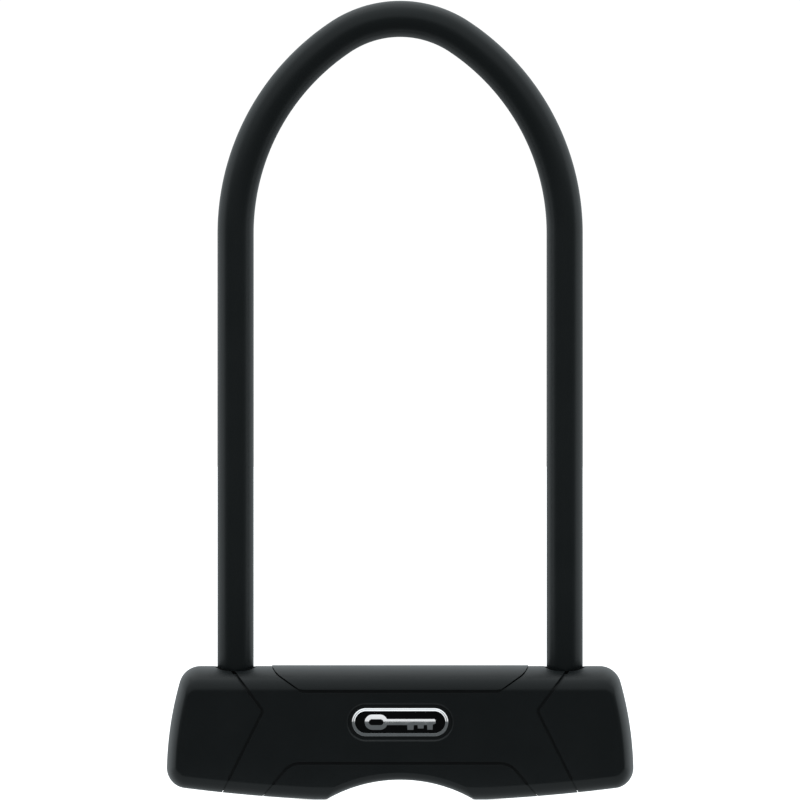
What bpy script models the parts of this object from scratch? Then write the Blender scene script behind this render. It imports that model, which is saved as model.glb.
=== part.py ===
"""A bicycle u-lock: a parabolic steel shackle whose two feet drop into a crossbar.

The crossbar is a rectangular steel tube in a moulded casing of five pieces. A wafer
cylinder in its middle turns a cam with two crank pins, and they drive two bolts
into the notches of the shackle's feet. It is modelled closed but unlocked: the bolts
are drawn back and the wafers stand at the shear line, as the turned key holds them.

Metres, +Z up. The front face looks towards -Y, +X is to the right, and the origin is
the middle of the crossbar's underside, level with its two toes.
"""

import math

import bmesh
import bpy
from mathutils import Matrix, Vector

MM = 0.001
GAP = 0.3 * MM  # between pieces that touch

# Shackle: the line down the middle of the bar is a leg, a wide arc and a tight crown.
BAR_RADIUS = 6.0 * MM
LEG_X = 60.55 * MM
SHOULDER_Z = 208.3 * MM  # where the legs start to bend
SHOULDER_RADIUS = 86.8 * MM
CROWN_RADIUS = 39.5 * MM
SLEEVE_RADIUS = 6.675 * MM
SLEEVE_WALL = 0.5 * MM
SLEEVE_END_Z = 44.7 * MM
FOOT_Z = 15.9 * MM
FOOT_CHAMFER = 1.4 * MM
NOTCH_DEPTH = 4.6 * MM
BAR_SIDES = 16

# Casing: the silhouette, seen from the front.
HALF_WIDTH = 85.9 * MM
TOP_Z = 49.05 * MM
HALF_DEPTH = 15.0 * MM
WIDEST_Z = 8.6 * MM
SIDE_RADIUS = 127.0 * MM
BOTTOM_RADIUS = 630.0 * MM
TOP_CORNER_RADIUS = 8.0 * MM
BOTTOM_CORNER_RADIUS = 7.5 * MM
TOE_X = 31.5 * MM
THUMB_RADIUS = 54.0 * MM
THUMB_HEIGHT = 7.28 * MM
CASING_WALL = 2.3 * MM
TRIM_RISE = 0.3 * MM  # how far the top trim stands above the rest of the casing

# Rounding between the flat faces and the silhouette: how far it reaches inwards in
# the front view, and how far it reaches back from the face.
TOP_ROUND, TOP_ROUND_DEPTH = 9.2 * MM, 14.7 * MM
SIDE_ROUND, SIDE_ROUND_DEPTH = 4.5 * MM, 12.0 * MM
BOTTOM_ROUND, BOTTOM_ROUND_DEPTH = 4.9 * MM, 7.0 * MM
THUMB_ROUND, THUMB_ROUND_DEPTH = 2.6 * MM, 4.5 * MM
FACE_CORNER_RADIUS = 3.0 * MM
ROUND_STEPS = 5

# Split lines of the casing, on the right half: (x, z) in the front view.
END_SPLIT = [(71.2, 60.0), (50.5, 32.8), (69.25, -5.0)]
TOP_SPLIT = [(36.4, 39.75), (44.0, 45.1), (46.0, 47.1), (47.7, 52.0), (47.7, 60.0)]
BOTTOM_SPLIT = [(37.0, 13.4), (39.5, 13.1), (41.5, 11.95), (50.2, 1.6), (55.7, -5.0)]
LEG_HOLE_RADIUS = 7.65 * MM

# Badge in the front face.
BADGE_Z = 28.55 * MM
BADGE_WIDTH, BADGE_HEIGHT = 35.6 * MM, 10.3 * MM
BADGE_RIM = 1.25 * MM
RECESS_MARGIN = 1.3 * MM
RECESS_DEPTH = 1.3 * MM

# Steel crossbar tube.
TUBE_HALF_LENGTH = 74.0 * MM
TUBE_HALF_DEPTH = 12.3 * MM
TUBE_BOTTOM_Z, TUBE_TOP_Z = 9.6 * MM, 42.6 * MM
TUBE_WALL = 3.0 * MM
TUBE_CORNER = 4.0 * MM
PIN_RADIUS = 1.5 * MM
PIN_LENGTH = 24.2 * MM
END_PLUG_THICKNESS = 5.0 * MM

# Bolts and the cam that drives them.
CRANK_RADIUS = 3.0 * MM
CRANK_PIN_RADIUS = 1.2 * MM
BOLT_HALF_WIDTH = 5.5 * MM
BOLT_BOTTOM_Z, BOLT_TOP_Z = 33.0 * MM, 39.0 * MM
BOLT_TIP_X = 53.6 * MM
BOLT_SHOULDER_X = 6.5 * MM
BOLT_GUIDE_X = (38.0 * MM, 48.0 * MM)
CAM_RADIUS = 6.6 * MM
CAM_BOTTOM_Z, CAM_TOP_Z = 30.5 * MM, 32.6 * MM

# Key cylinder.
CYLINDER_RADIUS = 8.3 * MM
CYLINDER_BOTTOM_Z, CYLINDER_TOP_Z = 12.0 * MM, 29.0 * MM
CYLINDER_PIN_X, CYLINDER_PIN_Z = 9.3 * MM, 20.5 * MM
PLUG_RADIUS = 5.8 * MM
PLUG_BOTTOM_Z, PLUG_TOP_Z = 13.7 * MM, 30.2 * MM
TANG_SIZE = 5.0 * MM
KEYWAY = (8.4 * MM, 2.8 * MM)
WAFERS = 6
FIRST_WAFER_Z, WAFER_PITCH = 15.2 * MM, 2.3 * MM
WAFER_THICKNESS, WAFER_WIDTH = 1.2 * MM, 5.0 * MM
WAFER_TRAVEL = 0.8 * MM
BITTING = (0.3, -0.3, 0.6, 0.0, -0.6, 0.3)  # shift of each wafer's window, in mm

# Keyhole shutter, in the middle of the thumb recess.
BEZEL_RADIUS = 8.6 * MM
SHUTTER_RADIUS = 7.1 * MM
SHUTTER_SLOT = (9.0 * MM, 3.0 * MM)


# ---------------------------------------------------------------- scene and materials


def clear_scene():
    for obj in list(bpy.data.objects):
        bpy.data.objects.remove(obj)


def new_collection(name):
    collection = bpy.data.collections.new(name)
    bpy.context.scene.collection.children.link(collection)
    return collection


def material(name, colour, roughness, metallic=0.0):
    made = bpy.data.materials.new(name)
    made.use_nodes = True
    shader = made.node_tree.nodes["Principled BSDF"]
    shader.inputs["Base Color"].default_value = (*colour, 1.0)
    shader.inputs["Roughness"].default_value = roughness
    shader.inputs["Metallic"].default_value = metallic
    return made


def make_materials():
    return {
        "casing": material("casing_plastic", (0.008, 0.010, 0.011), 0.42),
        "sleeve": material("shackle_coating", (0.010, 0.012, 0.013), 0.38),
        "chrome": material("chrome", (0.80, 0.82, 0.84), 0.12, 1.0),
        "gloss": material("gloss_black", (0.004, 0.005, 0.006), 0.08),
        "steel": material("hardened_steel", (0.42, 0.43, 0.45), 0.32, 1.0),
        "blackened": material("blackened_steel", (0.05, 0.05, 0.055), 0.45, 1.0),
        "brass": material("brass", (0.72, 0.55, 0.28), 0.28, 1.0),
        "nickel": material("nickel_silver", (0.60, 0.58, 0.53), 0.25, 1.0),
        "rubber": material("rubber", (0.012, 0.012, 0.012), 0.75),
        "acetal": material("acetal", (0.035, 0.036, 0.038), 0.5),
    }


# ------------------------------------------------------------------- modelling helpers


def adopt(obj, name, finish=None, helper=False):
    """Names obj, gives it its material and moves it to the part's or the cutters' collection."""
    obj.name = name
    obj.data.name = name
    for collection in list(obj.users_collection):
        collection.objects.unlink(obj)
    (CUTTERS if helper else PARTS).objects.link(obj)
    if helper:
        obj.hide_render = True
        obj.display_type = "WIRE"
    else:
        obj.data.materials.clear()
        obj.data.materials.append(MATERIALS[finish])
    return obj


def smooth(obj, angle=35):
    obj.data.shade_smooth()
    obj.data.set_sharp_from_angle(angle=math.radians(angle))
    return obj


def mesh_object(name, verts, faces):
    mesh = bpy.data.meshes.new(name)
    mesh.from_pydata(verts, [], faces)
    mesh.update()
    obj = bpy.data.objects.new(name, mesh)
    bpy.context.scene.collection.objects.link(obj)
    return obj


def box(low, high, bevel_axis=None, bevel=0.0, segments=3):
    """A box between two corners. With bevel_axis, its four edges along that axis are rounded."""
    bpy.ops.mesh.primitive_cube_add(size=1.0)
    obj = bpy.context.object
    low, high = Vector(low), Vector(high)
    scale = Matrix.Diagonal((*(high - low), 1.0))
    obj.data.transform(Matrix.Translation((low + high) / 2) @ scale)
    if bevel_axis is not None:
        bm = bmesh.new()
        bm.from_mesh(obj.data)
        along = [
            e
            for e in bm.edges
            if abs((e.verts[0].co - e.verts[1].co).normalized()[bevel_axis]) > 0.9
        ]
        bmesh.ops.bevel(
            bm, geom=along, offset=bevel, segments=segments, profile=0.5, affect="EDGES"
        )
        bm.to_mesh(obj.data)
        bm.free()
    return obj


def cylinder(radius, z_low, z_high, x=0.0, y=0.0, sides=32):
    bpy.ops.mesh.primitive_cylinder_add(
        vertices=sides, radius=radius, depth=z_high - z_low
    )
    obj = bpy.context.object
    obj.data.transform(Matrix.Translation((x, y, (z_low + z_high) / 2)))
    return obj


def cross_pin(radius, length, x, z, sides=16):
    """A cylinder along Y, centred on the crossbar's middle plane."""
    bpy.ops.mesh.primitive_cylinder_add(vertices=sides, radius=radius, depth=length)
    obj = bpy.context.object
    turn = Matrix.Rotation(math.pi / 2, 4, "X")
    obj.data.transform(Matrix.Translation((x, 0.0, z)) @ turn)
    return obj


def turned(profile, steps=32):
    """A solid of revolution about Z, from (radius, z) points that run down its outer side."""
    verts = [(radius, 0.0, z) for radius, z in profile]
    edges = [(i, i + 1) for i in range(len(verts) - 1)]
    if profile[0][0] > 0.0:
        edges.append((len(verts) - 1, 0))
    mesh = bpy.data.meshes.new("profile")
    mesh.from_pydata(verts, edges, [])
    obj = bpy.data.objects.new("profile", mesh)
    bpy.context.scene.collection.objects.link(obj)
    screw = obj.modifiers.new("turn", "SCREW")
    screw.steps = screw.render_steps = steps
    screw.use_merge_vertices = True
    screw.merge_threshold = 0.00001
    return obj


def plate(outline, y_low, y_high):
    """A flat piece between two planes of constant Y, from (x, z) points of its outline."""
    curve = bpy.data.curves.new("outline", "CURVE")
    curve.dimensions = "2D"
    curve.fill_mode = "BOTH"
    curve.extrude = (y_high - y_low) / 2
    spline = curve.splines.new("POLY")
    spline.points.add(len(outline) - 1)
    for point, (x, z) in zip(spline.points, outline):
        point.co = (x, z, 0.0, 1.0)
    spline.use_cyclic_u = True
    obj = bpy.data.objects.new("outline", curve)
    bpy.context.scene.collection.objects.link(obj)
    middle = Matrix.Translation((0.0, (y_low + y_high) / 2, 0.0))
    obj.matrix_world = middle @ Matrix.Rotation(math.pi / 2, 4, "X")
    return as_mesh(obj)


def rod(points, radius, resolution, caps=True, taper=None):
    """A round bar along a line of points. taper scales the radius at its two end points."""
    curve = bpy.data.curves.new("rod", "CURVE")
    curve.dimensions = "3D"
    curve.bevel_depth = radius
    curve.bevel_resolution = resolution
    curve.use_fill_caps = caps
    spline = curve.splines.new("POLY")
    spline.points.add(len(points) - 1)
    for point, co in zip(spline.points, points):
        point.co = (*co, 1.0)
    if taper is not None:
        spline.points[0].radius = spline.points[-1].radius = taper
    obj = bpy.data.objects.new("rod", curve)
    bpy.context.scene.collection.objects.link(obj)
    return obj


def as_mesh(curve_object):
    """The mesh of a curve, with its caps welded on, so that it can be cut or joined."""
    bpy.context.view_layer.update()
    graph = bpy.context.evaluated_depsgraph_get()
    mesh = bpy.data.meshes.new_from_object(curve_object.evaluated_get(graph))
    bm = bmesh.new()
    bm.from_mesh(mesh)
    bmesh.ops.remove_doubles(bm, verts=bm.verts, dist=0.000001)
    bmesh.ops.recalc_face_normals(bm, faces=bm.faces)
    bm.to_mesh(mesh)
    bm.free()
    obj = bpy.data.objects.new(curve_object.name, mesh)
    obj.matrix_world = curve_object.matrix_world
    bpy.context.scene.collection.objects.link(obj)
    bpy.data.objects.remove(curve_object)
    return obj


def boolean(obj, operation, other, name="cutter"):
    """Adds a Boolean with another object, which becomes a hidden helper."""
    if not other.hide_render:
        adopt(other, name, helper=True)
    modifier = obj.modifiers.new(operation.lower(), "BOOLEAN")
    modifier.operation = operation
    modifier.object = other
    modifier.solver = "EXACT"
    return obj


def cut(obj, *others):
    for other in others:
        boolean(obj, "DIFFERENCE", other)
    return obj


def join(obj, *others):
    for other in others:
        boolean(obj, "UNION", other, "joined_piece")
    return obj


def keep_inside(obj, other):
    return boolean(obj, "INTERSECT", other, "region")


def arc(cx, cz, radius, start, end, steps):
    """Points along an arc in the XZ plane, both ends included, from angles in radians."""
    angles = (start + (end - start) * i / steps for i in range(steps + 1))
    return [(cx + radius * math.cos(a), cz + radius * math.sin(a)) for a in angles]


def stadium(width, height, z, steps=8):
    """A slot shape with round ends, centred on x = 0."""
    radius = height / 2
    reach = width / 2 - radius
    right = arc(reach, z, radius, math.pi / 2, -math.pi / 2, steps)
    left = arc(-reach, z, radius, -math.pi / 2, -3 * math.pi / 2, steps)
    return right + left


# ------------------------------------------------------------------------------ shackle


def shackle_line(leg_end_z):
    """The bar's middle line, from the left leg's end over the crown to the right leg's."""
    centre_x = LEG_X - SHOULDER_RADIUS
    reach = SHOULDER_RADIUS - CROWN_RADIUS
    crown_z = SHOULDER_Z + math.sqrt(reach**2 - centre_x**2)
    junction = math.atan2(crown_z - SHOULDER_Z, -centre_x)
    shoulder = arc(centre_x, SHOULDER_Z, SHOULDER_RADIUS, 0.0, junction, 9)
    crown = arc(0.0, crown_z, CROWN_RADIUS, junction, math.pi / 2, 6)
    right = [(LEG_X, leg_end_z)] + shoulder[:-1] + crown
    left = [(-x, z) for x, z in right[:-1]]
    return [(x, 0.0, z) for x, z in left + right[::-1]]


def make_shackle():
    resolution = (BAR_SIDES - 4) // 2
    line = shackle_line(FOOT_Z + FOOT_CHAMFER)
    left_foot, right_foot = (-LEG_X, 0.0, FOOT_Z), (LEG_X, 0.0, FOOT_Z)
    taper = 1 - FOOT_CHAMFER / BAR_RADIUS
    bar = as_mesh(
        rod([left_foot] + line + [right_foot], BAR_RADIUS, resolution, taper=taper)
    )
    notch_low, notch_high = BOLT_BOTTOM_Z - 0.5 * MM, BOLT_TOP_Z + 0.5 * MM
    for side in (-1, 1):
        inner = side * (LEG_X - BAR_RADIUS - 2 * MM)
        floor = side * (LEG_X - BAR_RADIUS + NOTCH_DEPTH)
        x_low, x_high = sorted((inner, floor))
        cut(bar, box((x_low, -8 * MM, notch_low), (x_high, 8 * MM, notch_high)))
    adopt(bar, "shackle_bar", "steel")
    smooth(bar)

    tube = as_mesh(rod(shackle_line(SLEEVE_END_Z), SLEEVE_RADIUS, resolution, caps=False))
    wall = tube.modifiers.new("wall", "SOLIDIFY")
    wall.thickness = SLEEVE_WALL
    wall.offset = -1.0
    adopt(tube, "shackle_sleeve", "sleeve")
    smooth(tube)


# ------------------------------------------------------------------------------- casing


def casing_outline(inset_top, inset_side, inset_bottom, inset_thumb, top_r, bottom_r):
    """The right half of a silhouette, from the top's middle to the thumb recess's middle.

    It returns (x, z, depth of the rounding) for each point. Every call gives the same
    number of points, so two outlines can be lofted into each other.
    """
    side_x = HALF_WIDTH - SIDE_RADIUS
    side_r = SIDE_RADIUS - inset_side
    top_z = TOP_Z - inset_top
    bottom_z = BOTTOM_RADIUS - TOE_X**2 / (2 * BOTTOM_RADIUS)
    bottom_r_long = BOTTOM_RADIUS - inset_bottom

    # Top corner: touches the top line and the side arc from inside.
    corner_z = top_z - top_r
    corner_x = side_x + math.sqrt((side_r - top_r) ** 2 - (corner_z - WIDEST_Z) ** 2)
    leave = math.atan2(corner_z - WIDEST_Z, corner_x - side_x)

    # Bottom corner: touches the side arc and the long bottom arc from inside.
    low_x, low_z = circle_meeting(
        (side_x, WIDEST_Z), side_r - bottom_r, (0.0, bottom_z), bottom_r_long - bottom_r
    )
    meet_side = math.atan2(low_z - WIDEST_Z, low_x - side_x)
    meet_bottom = math.atan2(low_z - bottom_z, low_x)

    # Toe: a short flat between the long arc and the thumb recess.
    toe_z = inset_bottom
    thumb_z = THUMB_HEIGHT - THUMB_RADIUS
    thumb_r = THUMB_RADIUS + inset_thumb
    toe_x = math.sqrt(thumb_r**2 - (toe_z - thumb_z) ** 2)
    toe_angle = math.asin(TOE_X / bottom_r_long) - math.pi / 2
    thumb_angle = math.atan2(toe_z - thumb_z, toe_x)

    top = [(0.0, top_z), (corner_x * 0.5, top_z)]
    top_corner = arc(corner_x, corner_z, top_r, math.pi / 2, leave, 6)
    side = arc(side_x, WIDEST_Z, side_r, leave, meet_side, 4)[1:-1]
    low_corner = arc(low_x, low_z, bottom_r, meet_side, meet_bottom, 6)
    bottom = arc(0.0, bottom_z, bottom_r_long, meet_bottom, toe_angle, 4)[1:]
    thumb = arc(0.0, thumb_z, thumb_r, thumb_angle, math.pi / 2, 8)

    deep = [TOP_ROUND_DEPTH] * len(top)
    deep += blend(TOP_ROUND_DEPTH, SIDE_ROUND_DEPTH, len(top_corner))
    deep += [SIDE_ROUND_DEPTH] * len(side)
    deep += blend(SIDE_ROUND_DEPTH, BOTTOM_ROUND_DEPTH, len(low_corner))
    deep += [BOTTOM_ROUND_DEPTH] * len(bottom)
    deep += blend(BOTTOM_ROUND_DEPTH, THUMB_ROUND_DEPTH, len(thumb))
    points = top + top_corner + side + low_corner + bottom + thumb
    return [(x, z, d) for (x, z), d in zip(points, deep)]


def blend(first, last, count):
    """Values that ease from first to last."""
    shares = (i / (count - 1) for i in range(count))
    return [first + (last - first) * s * s * (3 - 2 * s) for s in shares]


def circle_meeting(c1, r1, c2, r2):
    """The lower right point where two circles cross."""
    dx, dz = c2[0] - c1[0], c2[1] - c1[1]
    apart = math.hypot(dx, dz)
    along = (r1**2 - r2**2 + apart**2) / (2 * apart)
    across = math.sqrt(r1**2 - along**2)
    ux, uz = dx / apart, dz / apart
    return c1[0] + ux * along + uz * across, c1[1] + uz * along - ux * across


def both_sides(half):
    """A closed outline from its right half, whose ends lie on the middle plane."""
    left = [(-x, *rest) for x, *rest in half[1:-1]]
    return half + left[::-1]


def casing_solid(name, inset, rise=0.0):
    """The casing's outer form as one closed loft, with inset taken off all round.

    A rise lifts the top's middle line, and fades out at the faces.
    """
    face = both_sides(
        casing_outline(
            TOP_ROUND,
            SIDE_ROUND,
            BOTTOM_ROUND,
            THUMB_ROUND,
            FACE_CORNER_RADIUS,
            FACE_CORNER_RADIUS,
        )
    )
    rim = both_sides(
        casing_outline(
            inset - rise,
            inset,
            inset,
            inset,
            TOP_CORNER_RADIUS - inset,
            BOTTOM_CORNER_RADIUS - inset,
        )
    )
    count = len(face)
    half_depth = HALF_DEPTH - inset
    verts = []
    for front in (True, False):
        steps = range(ROUND_STEPS + 1)
        for step in steps if front else reversed(steps):
            angle = math.pi / 2 * step / ROUND_STEPS
            for (fx, fz, _), (rx, rz, depth) in zip(face, rim):
                share = math.sin(angle)
                reach = half_depth - (depth - inset) * (1 - math.cos(angle))
                y = -reach if front else reach
                verts.append((fx + (rx - fx) * share, y, fz + (rz - fz) * share))
    rings = len(verts) // count
    faces = [tuple(range(count)), tuple(range(len(verts) - 1, len(verts) - count - 1, -1))]
    for ring in range(rings - 1):
        for i in range(count):
            a, b = ring * count + i, ring * count + (i + 1) % count
            faces.append((b, a, a + count, b + count))
    obj = mesh_object(name, verts, faces)
    bm = bmesh.new()
    bm.from_mesh(obj.data)
    bmesh.ops.recalc_face_normals(bm, faces=bm.faces)
    bm.to_mesh(obj.data)
    bm.free()
    return obj


def region(points, shift_x=0.0, shift_z=0.0):
    """A prism right through the casing, from (x, z) points in mm."""
    outline = [(x * MM + shift_x, z * MM + shift_z) for x, z in points]
    return plate(outline, -20 * MM, 20 * MM)


def mirrored(points):
    return [(-x, z) for x, z in points[::-1]]


def end_region(side, shift):
    """Everything outwards of an end split. A positive shift moves the split outwards."""
    right = [(100.0, 60.0)] + END_SPLIT + [(100.0, -5.0)]
    points = right if side > 0 else mirrored(right)
    return region(points, shift_x=side * shift)


def top_region(shift):
    """The top trim's window, grown by shift on each side and below."""
    grown = [(x + shift / MM, z - shift / MM) for x, z in TOP_SPLIT]
    return region(grown + mirrored(grown))


def bottom_region(shift):
    grown = [(x + shift / MM, z + shift / MM) for x, z in BOTTOM_SPLIT]
    return region(grown + mirrored(grown))


def leg_hole(side):
    return cylinder(LEG_HOLE_RADIUS, 43 * MM, 55 * MM, x=side * LEG_X, sides=32)


def casing_shell(cavity, rise=0.0):
    return cut(casing_solid("casing_shell", 0.0, rise), cavity)


def make_casing():
    cavity = casing_solid("casing_cavity", CASING_WALL)
    adopt(cavity, "casing_cavity", helper=True)
    holes = [leg_hole(-1), leg_hole(1)]
    half_gap = GAP / 2 + 0.02 * MM

    centre = casing_shell(cavity)
    cut(centre, end_region(-1, -half_gap), end_region(1, -half_gap))
    cut(centre, top_region(half_gap), bottom_region(half_gap), *holes)
    recess = stadium(
        BADGE_WIDTH + 2 * RECESS_MARGIN, BADGE_HEIGHT + 2 * RECESS_MARGIN, BADGE_Z
    )
    cut(centre, plate(recess, -HALF_DEPTH - 1 * MM, -HALF_DEPTH + RECESS_DEPTH))
    smooth(adopt(centre, "centre_cover", "casing"), 30)

    for side, name in ((-1, "left_end_cap"), (1, "right_end_cap")):
        cap = casing_shell(cavity)
        keep_inside(cap, end_region(side, half_gap))
        cut(cap, holes[(side + 1) // 2])
        join(cap, snap_tongue(side))
        smooth(adopt(cap, name, "casing"), 30)

    trim = casing_shell(cavity, TRIM_RISE)
    keep_inside(trim, top_region(-half_gap))
    for x in (-30 * MM, 0.0, 30 * MM):
        join(trim, top_rib(x))
    smooth(adopt(trim, "top_trim", "casing"), 30)

    trim = casing_shell(cavity)
    keep_inside(trim, bottom_region(-half_gap))
    cut(trim, cylinder(BEZEL_RADIUS + GAP, 0.0, 12 * MM))
    for x in (-34 * MM, 34 * MM):
        join(trim, bottom_rib(x))
    smooth(adopt(trim, "bottom_trim", "casing"), 30)


def snap_tongue(side):
    """A tongue that runs from the end wall along the floor and under the centre cover."""
    x_low, x_high = sorted((side * 54 * MM, side * 84.5 * MM))
    return box((x_low, -5 * MM, 7.2 * MM), (x_high, 5 * MM, 8.9 * MM))


def top_rib(x):
    """A rib under the top trim, which stands on the tube."""
    return box((x - 0.8 * MM, -7 * MM, TUBE_TOP_Z + GAP), (x + 0.8 * MM, 7 * MM, 46 * MM))


def bottom_rib(x):
    """A rib on the bottom trim's floor, which reaches up to the tube."""
    high = TUBE_BOTTOM_Z - GAP
    return box((x - 0.8 * MM, -8 * MM, 1.6 * MM), (x + 0.8 * MM, 8 * MM, high))


# -------------------------------------------------------------------------------- badge


def make_badge():
    front = -HALF_DEPTH + 0.1 * MM
    back = -HALF_DEPTH + RECESS_DEPTH - GAP
    rim = plate(stadium(BADGE_WIDTH, BADGE_HEIGHT, BADGE_Z), front, back)
    inside = stadium(BADGE_WIDTH - 2 * BADGE_RIM, BADGE_HEIGHT - 2 * BADGE_RIM, BADGE_Z)
    cut(rim, plate(inside, front - 1 * MM, back + 1 * MM))
    adopt(rim, "badge_rim", "chrome")

    shrink = 2 * (BADGE_RIM + 0.15 * MM)
    plate_outline = stadium(BADGE_WIDTH - shrink, BADGE_HEIGHT - shrink, BADGE_Z)
    plate_front = front + 0.55 * MM
    adopt(plate(plate_outline, plate_front, back), "badge_plate", "gloss")

    emblem = key_emblem(front, plate_front - 0.1 * MM)
    adopt(emblem, "badge_emblem", "chrome")


def key_emblem(y_front, y_back):
    """A plain key, lying down: a long ring bow, a thick shaft and three teeth."""
    bow_r = 2.8 * MM
    bow_left, bow_right = -10.2 * MM, -7.4 * MM
    shaft_top, shaft_bottom = 0.42, -0.38  # angles on the bow's right end
    bow = arc(bow_right, BADGE_Z, bow_r, shaft_top, math.pi / 2, 4)
    bow += arc(bow_left, BADGE_Z, bow_r, math.pi / 2, 3 * math.pi / 2, 12)
    bow += arc(bow_right, BADGE_Z, bow_r, -math.pi / 2, shaft_bottom, 4)
    teeth = [(2.6, -1.05), (2.7, -2.8), (4.9, -2.8), (5.0, -1.08), (6.4, -1.03)]
    teeth += [(6.5, -2.3), (8.6, -2.3), (8.7, -1.06), (9.9, -1.02), (10.0, -2.75)]
    teeth += [(11.9, -2.75), (12.0, -0.9), (13.0, -0.5), (13.0, 0.75), (12.6, 1.15)]
    lower = [(x * MM, BADGE_Z + z * MM) for x, z in teeth]
    emblem = plate(bow + lower, y_front, y_back)
    hole = stadium(5.4 * MM, 2.2 * MM, BADGE_Z)
    middle = (bow_left + bow_right) / 2
    hole = [(x + middle, z) for x, z in hole]
    return cut(emblem, plate(hole, y_front - 1 * MM, y_back + 1 * MM))


# -------------------------------------------------------------------- crossbar and feet


def tube_interior(x_low, x_high, clearance):
    """A block that fills the tube's hollow between two stations, less a clearance."""
    half = TUBE_HALF_DEPTH - TUBE_WALL - clearance
    low = TUBE_BOTTOM_Z + TUBE_WALL + clearance
    high = TUBE_TOP_Z - TUBE_WALL - clearance
    return box((x_low, -half, low), (x_high, half, high), bevel_axis=0, bevel=1.2 * MM)


def make_crossbar():
    half = TUBE_HALF_LENGTH
    tube = box(
        (-half, -TUBE_HALF_DEPTH, TUBE_BOTTOM_Z),
        (half, TUBE_HALF_DEPTH, TUBE_TOP_Z),
        bevel_axis=0,
        bevel=TUBE_CORNER,
        segments=4,
    )
    cut(tube, tube_interior(-half - 1 * MM, half + 1 * MM, 0.0))
    cut(tube, cylinder(CYLINDER_RADIUS + 0.4 * MM, 8 * MM, 14 * MM))
    for side in (-1, 1):
        cut(tube, cylinder(BAR_RADIUS + 0.35 * MM, 38 * MM, 44 * MM, x=side * LEG_X, sides=24))
        cut(tube, cross_pin(PIN_RADIUS + GAP, 30 * MM, side * CYLINDER_PIN_X, CYLINDER_PIN_Z))
        cut(tube, cross_pin(PIN_RADIUS + GAP, 30 * MM, side * end_pin_x(), 26 * MM))
    smooth(adopt(tube, "crossbar_tube", "blackened"))


def end_pin_x():
    return TUBE_HALF_LENGTH - END_PLUG_THICKNESS / 2


def make_end_fittings():
    for side, word in ((-1, "left"), (1, "right")):
        x_low, x_high = sorted(
            (side * (TUBE_HALF_LENGTH - END_PLUG_THICKNESS), side * TUBE_HALF_LENGTH)
        )
        plug = tube_interior(x_low, x_high, GAP)
        cut(plug, cross_pin(PIN_RADIUS + GAP, 30 * MM, side * end_pin_x(), 26 * MM))
        smooth(adopt(plug, f"{word}_end_plug", "blackened"))

        pin = cross_pin(PIN_RADIUS, PIN_LENGTH, side * end_pin_x(), 26 * MM)
        smooth(adopt(pin, f"{word}_end_pin", "steel"))

        seal_low = TUBE_TOP_Z + GAP
        seal = turned(
            [(8.3 * MM, seal_low + 1.2 * MM), (8.3 * MM, seal_low)]
            + [(6.4 * MM, seal_low), (6.4 * MM, seal_low + 0.8 * MM)]
            + [(6.9 * MM, seal_low + 1.2 * MM)],
            24,
        )
        seal.location.x = side * LEG_X
        smooth(adopt(seal, f"{word}_leg_seal", "rubber"))

        floor = TUBE_BOTTOM_Z + TUBE_WALL + GAP
        buffer = turned(
            [(0.0, FOOT_Z - GAP), (5.6 * MM, FOOT_Z - GAP)]
            + [(6.4 * MM, FOOT_Z - GAP - 0.8 * MM), (6.4 * MM, floor), (0.0, floor)],
            24,
        )
        buffer.location.x = side * LEG_X
        smooth(adopt(buffer, f"{word}_foot_buffer", "rubber"))


def make_bolt_guides():
    for side, word in ((-1, "left"), (1, "right")):
        x_low, x_high = sorted(side * x for x in BOLT_GUIDE_X)
        guide = tube_interior(x_low, x_high, GAP)
        half = BOLT_HALF_WIDTH + GAP
        window = box(
            (x_low - 1 * MM, -half, BOLT_BOTTOM_Z - GAP),
            (x_high + 1 * MM, half, BOLT_TOP_Z + 2 * MM),
        )
        cut(guide, window)
        smooth(adopt(guide, f"{word}_bolt_guide", "acetal"))


# -------------------------------------------------------------------- cam and the bolts


def crank_offset():
    """How far a crank pin stands to the side of the middle, at both ends of its swing."""
    return CRANK_RADIUS * math.sin(math.pi / 4)


def make_cam():
    cam = cylinder(CAM_RADIUS, CAM_BOTTOM_Z, CAM_TOP_Z, sides=24)
    socket = TANG_SIZE / 2 + GAP
    low = CAM_BOTTOM_Z - 1 * MM
    cut(cam, box((-socket, -socket, low), (socket, socket, CAM_TOP_Z - 0.6 * MM)))
    for side in (-1, 1):
        pin = cylinder(
            CRANK_PIN_RADIUS,
            CAM_TOP_Z - 0.4 * MM,
            BOLT_TOP_Z - 0.6 * MM,
            x=-side * crank_offset(),
            y=side * crank_offset(),
            sides=16,
        )
        join(cam, pin)
    smooth(adopt(cam, "cam_disc", "steel"))


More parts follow.
